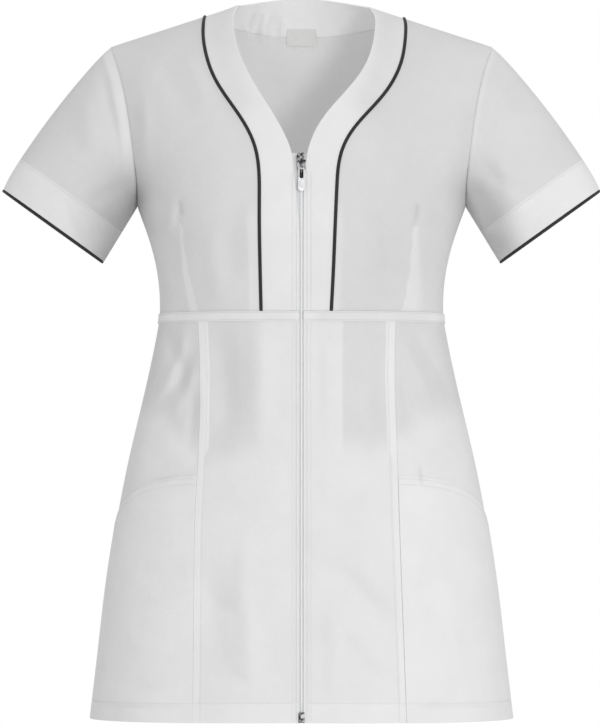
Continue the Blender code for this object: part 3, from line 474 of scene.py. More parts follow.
def away(x, z, line):
    """Distance of each point from a line, and how far along the line it is nearest."""
    corners = np.array(line, dtype=float)
    lengths = np.linalg.norm(np.diff(corners, axis=0), axis=1)
    starts = np.concatenate([[0.0], np.cumsum(lengths)])
    near = np.full(x.shape, np.inf)
    along = np.zeros(x.shape)
    for first, second, start, length in zip(corners[:-1], corners[1:], starts, lengths):
        way = (second - first) / length
        reach = np.clip((x - first[0]) * way[0] + (z - first[1]) * way[1], 0.0, length)
        gap = np.hypot(x - first[0] - reach * way[0], z - first[1] - reach * way[1])
        closer = gap < near
        near = np.where(closer, gap, near)
        along = np.where(closer, (start + reach) / starts[-1], along)
    return near, along


def across_at(line, z):
    """Place across of a seam line at each height."""
    corners = np.array(sorted(line, key=lambda corner: corner[1]))
    return np.interp(z, corners[:, 1], corners[:, 0])


# Folds and doubled cloth

def fold_height(x, z, folds):
    """Sum of the folds' heights at each point, each one tapered to its ends."""
    height = np.zeros(x.shape)
    for fold in folds:
        near, along = away(x, z, fold.line)
        taper = np.sin(np.pi * np.clip(along, FOLD_END, 1.0 - FOLD_END)) ** FOLD_TAPER
        height += fold.rise * taper * np.exp(-(near / fold.width) ** 2)
    return height


def settle(places):
    """Moves the cloth in or out along Y by its folds, alike on both faces of a wall."""
    x, y, z = places.T
    facing = np.where(y < 0.0, -1.0, 1.0)
    front = fold_height(x, z, FRONT_FOLDS)
    back = BACK_SHARE * fold_height(x, z, BACK_FOLDS) - fold_height(x, z, NECK_RIPPLES)
    calm = smooth(np.abs(x), ZIP_CALM, ZIP_CALM + ZIP_CALM_FADE)
    height = np.where(y < 0.0, front * calm, back)
    edge = smooth(np.abs(y), 0.0, SIDE_FADE)
    share = bpy.context.scene.tunic_cloth.fold_share
    moved = places.copy()
    moved[:, 1] = y + facing * height * edge * share
    return moved


def sleeve_run(side, x, z):
    """Distance above the sleeve's hem, measured along the sleeve."""
    out_x = side * math.sin(SLEEVE_SLOPE)
    out_z = -math.cos(SLEEVE_SLOPE)
    return -((x - side * SLEEVE_OUT) * out_x + (z - SLEEVE_Z) * out_z)


def hem_line(x, y):
    """Height of the hem, which rises a little at the middle of the front."""
    share = np.minimum(np.abs(x) / HEM_HALF_WIDTH, 1.0)
    return np.where(y < 0.0, HEM_Z + HEM_RISE_AT_FRONT * (1.0 - share ** 2), HEM_Z)


def side_of(node):
    return "left" if node.endswith("left") else "right"


def doubled_edge(node, places):
    """Distance to the edge of the doubled cloth, negative where the cloth is doubled."""
    x, y, z = places.T
    name = side_of(node)
    side = SIDES[name]
    if node.startswith("sleeve_") and "facing" not in node:
        return sleeve_run(side, x, z) - SLEEVE_HEM_DEPTH
    hem = z - hem_line(x, y) - HEM_DEPTH
    if node.startswith("skirt_centre"):
        wide = smooth(z, PRINCESS_NARROWS_Z - PRINCESS_STEP, PRINCESS_NARROWS_Z + PRINCESS_STEP)
        width = PRINCESS_ALLOWANCE_LOW + (PRINCESS_ALLOWANCE - PRINCESS_ALLOWANCE_LOW) * wide
        seam = np.abs(x - across_at(PRINCESS[name], z)) - width
        return np.minimum(hem, seam)
    if node.startswith(("skirt_side", "skirt_back")):
        return np.minimum(hem, np.abs(y) - SIDE_ALLOWANCE)
    return np.full(x.shape, NONE_NEAR if node.startswith("bodice") else ALL_DOUBLED)


def row_distance(node, places):
    """Distance to the nearest row of topstitching."""
    x, y, z = places.T
    near = np.full(x.shape, NONE_NEAR)
    name = side_of(node)
    for line in front_rows(name):
        if node.startswith(line.pieces):
            near = np.minimum(near, away(x, z, line.points)[0])
    if node.startswith("sleeve_") and "facing" not in node:
        near = np.minimum(near, np.abs(sleeve_run(SIDES[name], x, z) - SLEEVE_STITCH_RISE))
    if node.startswith(("skirt", "pocket")):
        near = np.minimum(near, np.abs(z - hem_line(x, y) - HEM_DEPTH))
    if node.startswith("waist_strip"):
        near = np.minimum(near, np.minimum(np.abs(z - STRIP_TOP_ROW), np.abs(z - STRIP_LOW_ROW)))
    return near


def brightness(node, x, z):
    """Share of doubled cloth's brightness behind allowances and facings, and painted light below the hips.
    """
    name = side_of(node)
    side = SIDES[name]
    bright = np.zeros(x.shape)
    if node.startswith(("skirt_centre", "skirt_side")):
        # Painted light: the skirt's cloth is lighter below the hip line
        line = np.array(HIP_LINE)
        bright = HIP_LIGHT_AND_FACING_SHARE * smooth(np.interp(x, line[:, 0], line[:, 1]) - z, -HIP_BLUR, HIP_BLUR)
    if node.startswith("skirt_centre"):
        blur = FACING_BLUR[name]
        facing = smooth(FACING_WIDTH[name] - np.abs(x), -blur, blur)
        bright = np.maximum(bright, HIP_LIGHT_AND_FACING_SHARE * facing)
    if node.startswith("bodice_front"):
        start = -BAND_ALLOWANCE_TOP_Z
        width = BAND_ALLOWANCE[name] - away(x, z, BAND_SEAM[name])[0]
        edge = smooth(width, -ALLOWANCE_BLUR, ALLOWANCE_BLUR)
        band = BAND_SHARE * edge * smooth(-z, start, start + BAND_FADE)
        run = np.clip((DART["right"][-1][1] - z) / (DART["right"][-1][1] - WAIST_Z), 0.0, 1.0)
        wide = DART_ALLOWANCE[name] * run
        out = side * (x - across_at(DART[name], z))
        blur = DART_BLUR[name] * run + DART_EDGE_INSIDE
        outer = 1.0 - smooth(out, wide - blur, wide + DART_EDGE)
        dart = DART_SHARE * smooth(out, -DART_EDGE, DART_EDGE) * outer * smooth(run, 0.0, DART_START)
        bright = np.maximum(band, dart)
    if node.startswith("sleeve_") and "facing" not in node:
        width = SLEEVE_HEAD_ALLOWANCE[name] - away(x, z, ARMHOLE[name])[0]
        edge = smooth(width, -ALLOWANCE_BLUR, ALLOWANCE_BLUR)
        bright = HEAD_SHARE[name] * edge * smooth(z, *HEAD_FADE)
    return bright


def shading(node, x, z):
    """Depth of the soft shadows under the arms, along the armholes and at the darts' tips."""
    shades = ARM_SHADES if node.endswith("back") else ARM_SHADES + FRONT_SHADES
    if node == "neck_band_back":
        shades = NECK_SHADES
    depth = np.zeros(x.shape)
    for shade in shades:
        depth += shade.rise * np.exp(-(away(x, z, shade.line)[0] / shade.width) ** 2)
    return depth


# Rows of topstitching, in front view

Row = namedtuple("Row", "pieces points")
STRIP_TOP_ROW = WAIST_Z - 1.6
STRIP_LOW_ROW = STRIP_Z + 1.4
ZIP_ROWS = (5.4, 9.6)
ZIP_ROWS_TOP_Z = -150.0
PRINCESS_ROW = 7.5
MOUTH_ROWS = (2.5, 8.5)
MOUTH_SIDE_X = 196.0
MOUTH_STEPS = 13
ROW_END = 1.0
HEM_END = 3.5
PRINCESS_HEM_END = 3.0


def mouth_height(part):
    """Height of a pocket's slanted edge, from the princess seam at 0 to the side at 1."""
    return MOUTH_TOP_Z - MOUTH_DROP * part ** MOUTH_CURVE


def front_rows(side_name):
    """Topstitching on one side of the front, each with the pieces that it runs on."""
    side = SIDES[side_name]
    rows = []
    for out in ZIP_ROWS:
        x = side * out
        rows.append(Row(("neck_band_front",), [(x, ZIP_ROWS_TOP_Z), (x, WAIST_Z + ROW_END)]))
        rows.append(Row(("skirt_centre",), [(x, STRIP_Z - ROW_END), (x, HEM_Z + HEM_END)]))
    seam = [(x - side * PRINCESS_ROW, z) for x, z in PRINCESS[side_name]]
    seam[0] = (seam[0][0], STRIP_Z - ROW_END)
    seam[-1] = (seam[-1][0], HEM_Z + PRINCESS_HEM_END)
    rows.append(Row(("skirt_centre",), seam))
    seam_x = abs(PRINCESS[side_name][3][0])
    for below in MOUTH_ROWS:
        points = []
        for part in np.linspace(0.0, 1.0, MOUTH_STEPS):
            x = seam_x + (MOUTH_SIDE_X - seam_x) * math.sin(part * math.pi / 2.0)
            points.append((side * x, mouth_height(part) - below))
        rows.append(Row(("pocket",), points))
    return rows


# Cloth pieces

def refined_copy(node, level):
    """Copy of a node's walls, merged, put back in quads and refined, with its rims kept crisp."""
    mesh = frame["nodes"][node].data.copy()
    mesh.materials.clear()
    piece = bpy.data.objects.new(node + "_finish", mesh)
    bpy.context.collection.objects.link(piece)
    pick(piece)
    bpy.ops.object.mode_set(mode="EDIT")
    bpy.ops.mesh.select_all(action="SELECT")
    bpy.ops.mesh.remove_doubles(threshold=MERGE * MM)
    bpy.ops.mesh.tris_convert_to_quads(face_threshold=QUAD_ANGLE, shape_threshold=math.pi,
                                       topology_influence=1.0)
    bpy.ops.object.mode_set(mode="OBJECT")
    custom = mesh.attributes.get("custom_normal")
    if custom:
        mesh.attributes.remove(custom)
    shape = bmesh.new()
    shape.from_mesh(mesh)
    crease = shape.edges.layers.float.new("crease_edge")
    for edge in shape.edges:
        if edge.calc_face_angle(0.0) > RIM_ANGLE:
            edge[crease] = 1.0
    shape.to_mesh(mesh)
    shape.free()
    refine = piece.modifiers.new("refine", "SUBSURF")
    refine.levels = level
    refine.render_levels = level
    bpy.ops.object.modifier_apply(modifier=refine.name)
    return piece


def add_measure(mesh, name, values):
    """Stores a number at each vertex for the materials."""
    field = mesh.attributes.new(name, "FLOAT", "POINT")
    field.data.foreach_set("value", np.asarray(values, dtype=np.float32))


def inner_face(node, mesh):
    """1 on the face of the wall that looks into the body or the sleeve, and 0 on the outer one."""
    places = vertex_places(mesh)
    normals = np.empty(len(mesh.vertices) * 3)
    mesh.vertices.foreach_get("normal", normals)
    normals = normals.reshape(-1, 3)
    out = places * np.array([1.0, 1.0, 0.0])
    if node.startswith("sleeve"):
        side = SIDES[side_of(node)]
        axis = np.array([side * math.sin(SLEEVE_SLOPE), 0.0, -math.cos(SLEEVE_SLOPE)])
        from_axis = places - np.array([side * SLEEVE_OUT, 0.0, SLEEVE_Z])
        out = from_axis - (from_axis @ axis)[:, None] * axis
    out = out / np.maximum(np.linalg.norm(out, axis=1, keepdims=True), 1e-6)
    return smooth(-np.sum(normals * out, axis=1), 0.0, INNER_FACE_BLUR)


def add_weave_map(mesh, node, places):
    """UV map in metres: around the body or the sleeve, and up along the cloth."""
    x, y, z = places.T
    if node.startswith(("sleeve", "piping_sleeve")):
        side = SIDES[side_of(node)]
        up = sleeve_run(side, x, z)
        over = (x - side * SLEEVE_OUT) * side * math.cos(SLEEVE_SLOPE)
        over = over + (z - SLEEVE_Z) * math.sin(SLEEVE_SLOPE)
        around, along, radius = np.arctan2(-y, over), up, WEAVE_RADIUS_OF_SLEEVE
    else:
        facing = -1.0 if y.mean() < 0.0 else 1.0
        around, along, radius = np.arctan2(x, np.maximum(facing * y, 1.0)), z, WEAVE_RADIUS_OF_BODY
    layer = mesh.uv_layers.new(name="weave")
    corner_vertex = np.empty(len(mesh.loops), dtype=np.int32)
    mesh.loops.foreach_get("vertex_index", corner_vertex)
    turn = around[corner_vertex]
    sizes = np.empty(len(mesh.polygons), dtype=np.int32)
    mesh.polygons.foreach_get("loop_total", sizes)
    face_of = np.repeat(np.arange(len(sizes)), sizes)
    highest = np.full(len(sizes), -np.inf)
    np.maximum.at(highest, face_of, turn)
    wraps = highest[face_of] - turn > math.pi
    turn = np.where(wraps, turn + 2.0 * math.pi, turn)
    flat = np.stack([turn * radius * MM, along[corner_vertex] * MM], axis=1)
    layer.data.foreach_set("uv", flat.astype(np.float32).ravel())


def finish_piece(piece, material, sharp=CLOTH_SHARP):
    """Gives a piece its material, its smooth shading and its body."""
    piece.data.materials.append(material)
    pick(piece)
    bpy.ops.object.shade_smooth_by_angle(angle=math.radians(sharp))
    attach(piece, BODY)


def declare_sheet(node):
    """Hides the node's solid."""
    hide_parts(node)


def cloth_piece(node, level):
    """One cloth piece in place of its solid, which is hidden."""
    piece = refined_copy(node, level)
    mesh = piece.data
    places = vertex_places(mesh)
    doubled = doubled_edge(node, places)
    add_weave_map(mesh, node, places)
    add_measure(mesh, "doubled_mm", doubled)
    add_measure(mesh, "row_mm", row_distance(node, places))
    add_measure(mesh, "bright", brightness(node, places[:, 0], places[:, 2]))
    add_measure(mesh, "shade", shading(node, places[:, 0], places[:, 2]))
    moved = settle(places)
    raised = ALLOWANCE_RISE * smooth(-doubled, -ALLOWANCE_EDGE, ALLOWANCE_EDGE)
    if node.startswith(("skirt_centre", "skirt_side", "bodice_front", "sleeve_left", "sleeve_right")):
        facing = np.where(places[:, 1] < 0.0, -1.0, 1.0)
        moved[:, 1] += facing * raised * smooth(np.abs(places[:, 1]), 0.0, SIDE_FADE)
    set_vertex_places(mesh, moved)
    add_measure(mesh, "inside", inner_face(node, mesh))
    finish_piece(piece, cloth_material())
    declare_sheet(node)


def trim_sheet(node, level, material):
    """A plain sheet of the trim, settled with the cloth around it."""
    piece = refined_copy(node, level)
    set_vertex_places(piece.data, settle(vertex_places(piece.data)))
    finish_piece(piece, material)
    declare_sheet(node)


def cord_piece(node, level):
    """Piping along the settled cloth, in place of its plain cord."""
    piece = refined_copy(node, level)
    places = vertex_places(piece.data)
    add_weave_map(piece.data, node, places)
    normals = np.empty(len(places) * 3)
    piece.data.vertices.foreach_get("normal", normals)
    swell = FRONT_CORD_SWELL if node.startswith("piping_front") else SLEEVE_CORD_SWELL
    set_vertex_places(piece.data, settle(places) + normals.reshape(-1, 3) * swell)
    finish_piece(piece, piping_material())
    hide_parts(node)


# Shader recipes

class Term:
    """A number that changes over a surface. Sums and products of terms add their Math nodes."""

    def __init__(self, recipe, socket):
        self.recipe = recipe
        self.socket = socket

    def math(self, operation, *others):
        values = dict(enumerate((self, *others)))
        return self.recipe.node("ShaderNodeMath", {"operation": operation}, values)

    def __add__(self, other):
        return self.math("ADD", other)

    __radd__ = __add__

    def __sub__(self, other):
        return self.math("SUBTRACT", other)

    def __rsub__(self, other):
        return self.recipe.node("ShaderNodeMath", {"operation": "SUBTRACT"}, {0: other, 1: self})

    def __mul__(self, other):
        return self.math("MULTIPLY", other)

    __rmul__ = __mul__

    def sine(self):
        return self.math("SINE")

    def absolute(self):
        return self.math("ABSOLUTE")

    def largest(self, other):
        return self.math("MAXIMUM", other)

    def exponent(self):
        return self.math("EXPONENT")

    def step(self, low, high):
        """0 at low and 1 at high, softly; low may be the larger one."""
        return self.recipe.node("ShaderNodeMapRange", {"interpolation_type": "SMOOTHSTEP"},
                                {"Value": self, "From Min": low, "From Max": high})


class Recipe:
    """Node tree of one material."""

    def __init__(self, name):
        self.material = bpy.data.materials.new(name)
        self.material.use_nodes = True
        self.tree = self.material.node_tree
        self.shader = self.tree.nodes["Principled BSDF"]

    def put(self, socket, value):
        if isinstance(value, Term):
            self.tree.links.new(value.socket, socket)
        else:
            socket.default_value = value

    def node(self, kind, settings=None, values=None, output=0):
        made = self.tree.nodes.new(kind)
        for name, value in (settings or {}).items():
            setattr(made, name, value)
        for name, value in (values or {}).items():
            self.put(made.inputs[name], value)
        return Term(self, made.outputs[output])

    def measure(self, name):
        return self.node("ShaderNodeAttribute", {"attribute_name": name}, output="Fac")

    def object_place(self):
        return self.node("ShaderNodeTexCoord", output="Object")

    def weave_place(self):
        return self.node("ShaderNodeUVMap", {"uv_map": "weave"})

    def part(self, vector, axis):
        return self.node("ShaderNodeSeparateXYZ", values={0: vector}, output=axis)

    def noise(self, vector, scale, detail=2.0, roughness=0.5):
        return self.node("ShaderNodeTexNoise", values={"Vector": vector, "Scale": scale,
                                                       "Detail": detail, "Roughness": roughness})

    def mixed(self, share, first, second):
        """Colour between two colours, which may be terms."""
        made = self.tree.nodes.new("ShaderNodeMix")
        made.data_type = "RGBA"
        colours = [socket for socket in made.inputs if socket.type == "RGBA"]
        self.put(made.inputs[0], share)
        for socket, colour in zip(colours, (first, second)):
            self.put(socket, colour if isinstance(colour, Term) else (*colour, 1.0))
        result = next(socket for socket in made.outputs if socket.type == "RGBA")
        return Term(self, result)

    def under_slider(self, place):
        """1 in the deep shade that shows through the window of the pull tab, and 0 around it."""
        up = self.part(place, 2)
        beside = self.part(place, 0).absolute()
        reach = (up - WINDOW_Z * MM).absolute()
        inside = reach.step((WINDOW_HALF_HEIGHT + WINDOW_BLUR[1]) * MM, WINDOW_HALF_HEIGHT * MM)
        return inside * beside.step(WINDOW_HALF_WIDTH * MM, (WINDOW_HALF_WIDTH - WINDOW_BLUR[0]) * MM)

    def grey(self, share):
        """The same number for red, green and blue."""
        return self.node("ShaderNodeCombineXYZ", values={0: share, 1: share, 2: share})

    def glow(self, strength):
        """White light that the surface gives off."""
        self.set(Emission_Color=self.grey(strength), Emission_Strength=1.0)

    def relief(self, height):
        """Height in millimetres, turned into the shader's normal."""
        bump = self.node("ShaderNodeBump", values={"Height": height, "Distance": MM, "Strength": 1.0})
        self.put(self.shader.inputs["Normal"], bump)

    def set(self, **values):
        for name, value in values.items():
            self.put(self.shader.inputs[name.replace("_", " ")], value)


def made_once(name):
    """Names the material that the function below writes, which happens at its first use."""
    def keep(write):
        def material():
            if name not in bpy.data.materials:
                recipe = Recipe(name)
                write(recipe, recipe.object_place())
            return bpy.data.materials[name]
        return material
    return keep


@made_once("white poplin")
def cloth_material(recipe, place):
    settings = bpy.context.scene.tunic_cloth
    threads = recipe.weave_place()
    around = recipe.part(threads, 0)
    along = recipe.part(threads, 1)
    turn = 2.0 * math.pi / settings.thread_pitch
    weave = (around * turn).sine() * (along * turn * WEAVE_RATIO).sine()
    cloudy = recipe.noise(place, CLOUD_SCALE, 4.0, 0.6)
    crumple = recipe.noise(place, CRUMPLE_SCALE, 3.0, 0.55)
    slubs = recipe.noise(place, SLUB_SCALE, 2.0)
    doubled = recipe.measure("doubled_mm").step(DOUBLED_BLUR, -DOUBLED_BLUR)
    bright = recipe.measure("bright")
    row = recipe.measure("row_mm")
    groove = (row * row * -GROOVE_SHARPNESS).exponent()
    # The doubled colour marks doubled cloth and, through bright, the painted light below the hips
    base = recipe.mixed(doubled.largest(bright), tuple(settings.single), tuple(settings.doubled))
    # Random mottling and slubs, with painted shade in the stitch grooves; the painted shade lines then
    # darken it
    shade = (cloudy - 0.5) * 0.10 + (slubs - 0.5) * 0.03 + groove * -0.04 + 1.0
    shade = shade * (1.0 - recipe.measure("shade"))
    shaded = {0: base, 1: recipe.grey(shade)}
    colour = recipe.node("ShaderNodeVectorMath", {"operation": "MULTIPLY"}, shaded)
    height = weave * WEAVE_HEIGHT + (cloudy - 0.5) * CLOUD_HEIGHT + (crumple - 0.5) * CRUMPLE_HEIGHT
    height = height + groove * -GROOVE_DEPTH + doubled * DOUBLED_HEIGHT
    recipe.relief(height)
    recipe.set(Base_Color=colour, Roughness=CLOTH_ROUGHNESS + (slubs - 0.5) * 0.1)
    recipe.set(Sheen_Weight=0.12, Sheen_Roughness=0.5, Specular_IOR_Level=0.3)
    recipe.glow(recipe.measure("inside") * settings.glow)


@made_once("black piping")
def piping_material(recipe, place):
    slubs = recipe.noise(place, 1400.0, 2.0)
    folds = recipe.noise(place, 160.0, 2.0)
    colour = tuple(bpy.context.scene.tunic_trim.piping)
    light = tuple(PIPING_SHEEN * share for share in colour)
    recipe.set(Base_Color=recipe.mixed(slubs, colour, light), Roughness=0.55 + (folds - 0.5) * 0.2)
    recipe.set(Specular_IOR_Level=0.35, Sheen_Weight=0.05)
    recipe.relief(slubs * 0.08 + folds * 0.2)


@made_once("white thread")
def thread_material(recipe, place):
    twist = recipe.noise(place, 2500.0, 2.0)
    colour = tuple(bpy.context.scene.tunic_trim.thread)
    dark = tuple(THREAD_SHADE * share for share in colour)
    recipe.set(Base_Color=recipe.mixed(twist, dark, colour), Roughness=0.5 + (twist - 0.5) * 0.2)
    recipe.relief(twist * 0.05)


@made_once("zip tape")
def tape_material(recipe, place):
    up = recipe.part(place, 2)
    across = recipe.part(place, 0)
    twill = ((up + across * 0.6) * (2.0 * math.pi / TWILL_PITCH)).sine()
    cloudy = recipe.noise(place, 120.0, 2.0)
    light = recipe.mixed(cloudy, *TAPE_COLOURS)
    recipe.set(Base_Color=recipe.mixed(recipe.under_slider(place), light, DEEP_SHADE))
    recipe.set(Roughness=0.75 + (cloudy - 0.5) * 0.1)
    recipe.relief(twill * 0.05)


@made_once("zip coil")
def coil_material(recipe, place):
    cloudy = recipe.noise(place, 400.0, 1.0)
    light = recipe.mixed(cloudy, *COIL_COLOURS)
    shadow = recipe.under_slider(place)
    recipe.set(Base_Color=recipe.mixed(shadow, light, DEEP_SHADE), Roughness=0.38 + (cloudy - 0.5) * 0.1)
    recipe.glow((1.0 - shadow) * COIL_GLOW)
    recipe.relief(cloudy * 0.05)


@made_once("label tape")
def label_material(recipe, place):
    across = recipe.part(place, 0)
    up = recipe.part(place, 2)
    turns = [2.0 * math.pi / pitch for pitch in SATIN_PITCH]
    satin = (across * turns[0]).sine() * (up * turns[1]).sine()
    cloudy = recipe.noise(place, 90.0, 2.0)
    recipe.set(Base_Color=recipe.mixed(cloudy, *LABEL_COLOURS))
    recipe.set(Roughness=0.45 + (cloudy - 0.5) * 0.15, Sheen_Weight=0.1)
    recipe.relief(satin * 0.02 + cloudy * 0.4)


def write_metal(recipe, place, dark, light, roughness):
    """Cast metal with painted reflections: patches, laid by noise, of the dark colour among the light one.
    """
    cast = recipe.noise(place, 700.0, 3.0)
    reflection_patches = recipe.noise(place, 260.0, 2.0).step(0.38, 0.62)
    recipe.set(Base_Color=recipe.mixed(reflection_patches, dark, light), Metallic=1.0)
    recipe.set(Roughness=roughness + (reflection_patches - 0.5) * 0.12)
    recipe.relief(cast * 0.04)


@made_once("nickel")
def nickel_material(recipe, place):
    """Slider and box, with near-black painted reflections."""
    write_metal(recipe, place, *NICKEL_COLOURS, 0.26)


@made_once("bright nickel")
def bright_nickel_material(recipe, place):
    """Flat pull tab, polished by use, with faint painted reflections."""
    write_metal(recipe, place, *BRIGHT_NICKEL_COLOURS, 0.34)


@made_once("pale floor")
def floor_material(recipe, place):
    cloudy = recipe.noise(place, 1.5, 2.0)
    recipe.set(Base_Color=recipe.mixed(cloudy, *FLOOR_COLOURS), Roughness=0.9)


# Stitches and teeth

def bead(segments, rings):
    """Points and faces of a round-ended rod of length 2 along X and radius 1, modelled once."""
    bpy.ops.object.select_all(action="DESELECT")
    bpy.ops.mesh.primitive_uv_sphere_add(segments=segments, ring_count=rings, radius=1.0)
    made = bpy.context.active_object
    bpy.ops.object.mode_set(mode="EDIT")
    bpy.ops.mesh.select_all(action="SELECT")
    bpy.ops.transform.rotate(value=math.pi / 2.0, orient_axis="Y", center_override=(0.0, 0.0, 0.0))
    bpy.ops.object.mode_set(mode="OBJECT")
    points = np.array([vertex.co[:] for vertex in made.data.vertices])
    faces = [tuple(face.vertices) for face in made.data.polygons]
    points[:, 0] = np.sign(points[:, 0]) * np.abs(points[:, 0]) ** BEAD_BLUNTNESS
    bpy.data.objects.remove(made)
    return points, faces


def joined_copies(name, points, faces, places):
    """One mesh of many copies. A place is its centre, and its own X, Y and Z with their lengths."""
    places = np.asarray(places)
    centres = places[:, 0]
    axes = places[:, 1:]
    grid = centres[:, None, :] + np.einsum("vk,nkc->nvc", points, axes)
    count = len(points)
    copies = [tuple(index + step * count for index in face)
              for step in range(len(places)) for face in faces]
    mesh = bpy.data.meshes.new(name)
    mesh.from_pydata([Vector(corner) * MM for corner in grid.reshape(-1, 3)], [], copies)
    piece = bpy.data.objects.new(name, mesh)
    bpy.context.collection.objects.link(piece)
    return piece


def surface_of(pieces):
    """Tree of the finished cloth, for laying stitches on it."""
    corners = []
    faces = []
    for piece in pieces:
        start = len(corners)
        corners.extend(vertex.co.copy() for vertex in piece.data.vertices)
        faces.extend([start + index for index in face.vertices] for face in piece.data.polygons)
    return BVHTree.FromPolygons(corners, faces)


def cast(tree, start, way):
    """Where a ray meets the cloth, in millimetres, and the direction out of it."""
    place, normal, _, _ = tree.ray_cast(Vector(start) * MM, Vector(way))
    if place is None:
        return None
    if normal.dot(Vector(way)) > 0.0:
        normal = -normal
    return np.array(place) / MM, np.array(normal)


def even_steps(points, step):
    """Points along a line at even steps of about this length."""
    corners = np.array(points, dtype=float)
    lengths = np.concatenate([[0.0], np.cumsum(np.linalg.norm(np.diff(corners, axis=0), axis=1))])
    count = max(2, int(lengths[-1] / step))
    at = np.linspace(0.0, lengths[-1], count)
    return np.stack([np.interp(at, lengths, corners[:, axis]) for axis in range(corners.shape[1])], axis=1)


def stitch_places(hits):
    """A stitch between each two neighbouring points of a row, lying half in the cloth."""
    trim = bpy.context.scene.tunic_trim
    radius = trim.thread_radius / MM
    places = []
    for first, second in zip(hits[:-1], hits[1:]):
        if first is None or second is None:
            continue
        span = second[0] - first[0]
        length = np.linalg.norm(span)
        if length < SHORTEST_STITCH or length > LONGEST_STITCH * trim.stitch / MM:
            continue
        way = span / length
        out = first[1] - np.dot(first[1], way) * way
        out = out / np.linalg.norm(out)
        beside = np.cross(out, way)
        centre = (first[0] + second[0]) / 2.0 + out * radius * 0.5
        places.append((centre, way * length * STITCH_SHARE / 2.0, beside * radius, out * radius))
    return places


def thread_piece(name, places):
    """All stitches of some rows as one piece of thread."""
    points, faces = bead(6, 4)
    piece = joined_copies(name, points, faces, places)
    finish_piece(piece, thread_material(), sharp=SMALL_SHARP)


def front_hits(tree, points):
    """Points of a row on the front, by rays from before it."""
    step = bpy.context.scene.tunic_trim.stitch / MM
    return [cast(tree, (x, RAY_START_Y, z), BACKWARDS) for x, z in even_steps(points, step)]


def ring_hits(tree, middle, across, reach, lift=0.0):
    """Points of a row round the body or a sleeve, by rays towards its middle.

    The row rises by the lift at the middle of the front.
    """
    def ray(turn):
        way = math.cos(turn) * across + math.sin(turn) * BACKWARDS
        rise = np.array([0.0, 0.0, lift * max(0.0, -math.sin(turn)) ** 2])
        return cast(tree, middle + rise + way * reach, -way)

    turns = np.linspace(0.0, 2.0 * math.pi, RING_RAYS)
    known = [(turn, hit[0]) for turn, hit in zip(turns, map(ray, turns)) if hit is not None]
    lengths = [0.0]
    for (_, first), (_, second) in zip(known[:-1], known[1:]):
        lengths.append(lengths[-1] + np.linalg.norm(second - first))
    step = bpy.context.scene.tunic_trim.stitch / MM
    stops = np.linspace(0.0, lengths[-1], int(lengths[-1] / step))
    known_turns = [turn for turn, _ in known]
    return [ray(np.interp(stop, lengths, known_turns)) for stop in stops]


# Groups of pieces

class TUNIC_OT_bodice(bpy.types.Operator):
    """Settle the bodice: one back and two fronts with their bust darts"""
    bl_idname = "tunic.bodice"
    bl_label = "Bodice"

    def execute(self, context):
        cloth_piece("bodice_back", MEDIUM)
        for side in SIDES:
            cloth_piece("bodice_front_" + side, FINE)
        return {"FINISHED"}


class TUNIC_OT_sleeves(bpy.types.Operator):
    """Settle the sleeves and the facings inside their hems"""
    bl_idname = "tunic.sleeves"
    bl_label = "Sleeves"

    def execute(self, context):
        for side in SIDES:
            cloth_piece("sleeve_" + side, FINE)
            cloth_piece("sleeve_facing_" + side, MEDIUM)
        return {"FINISHED"}


class TUNIC_OT_neck_band(bpy.types.Operator):
    """Settle the shaped neck band, whose back part ripples at the wearer's right"""
    bl_idname = "tunic.neck_band"
    bl_label = "Neck band"

    def execute(self, context):
        cloth_piece("neck_band_back", FINE)
        for side in SIDES:
            cloth_piece("neck_band_front_" + side, FINE)
        return {"FINISHED"}


class TUNIC_OT_skirt(bpy.types.Operator):
    """Settle the skirt panels, the pockets on them and the waist strip"""
    bl_idname = "tunic.skirt"
    bl_label = "Skirt"

    def execute(self, context):
        cloth_piece("skirt_back", MEDIUM)
        cloth_piece("waist_strip_back", FINE)
        for side in SIDES:
            for name in ("skirt_centre_", "skirt_side_", "pocket_", "waist_strip_"):
                cloth_piece(name + side, FINE)
        return {"FINISHED"}


class TUNIC_OT_piping(bpy.types.Operator):
    """Lay the black piping in the band seams and round the sleeve hems"""
    bl_idname = "tunic.piping"
    bl_label = "Piping"

    def execute(self, context):
        for side in SIDES:
            cord_piece("piping_front_" + side, MEDIUM)
            cord_piece("piping_sleeve_" + side, MEDIUM)
        return {"FINISHED"}


class TUNIC_OT_label(bpy.types.Operator):
    """Sew the label into the back of the neck"""
    bl_idname = "tunic.label"
    bl_label = "Neck label"

    def execute(self, context):
        trim_sheet("neck_label", FINE, label_material())
        return {"FINISHED"}


class TUNIC_OT_zip_tapes(bpy.types.Operator):
    """Lay the zip tapes behind the front edges"""
    bl_idname = "tunic.zip_tapes"
    bl_label = "Zip tapes"

    def execute(self, context):
        for side in SIDES:
            trim_sheet("zip_tape_" + side, MEDIUM, tape_material())
        return {"FINISHED"}


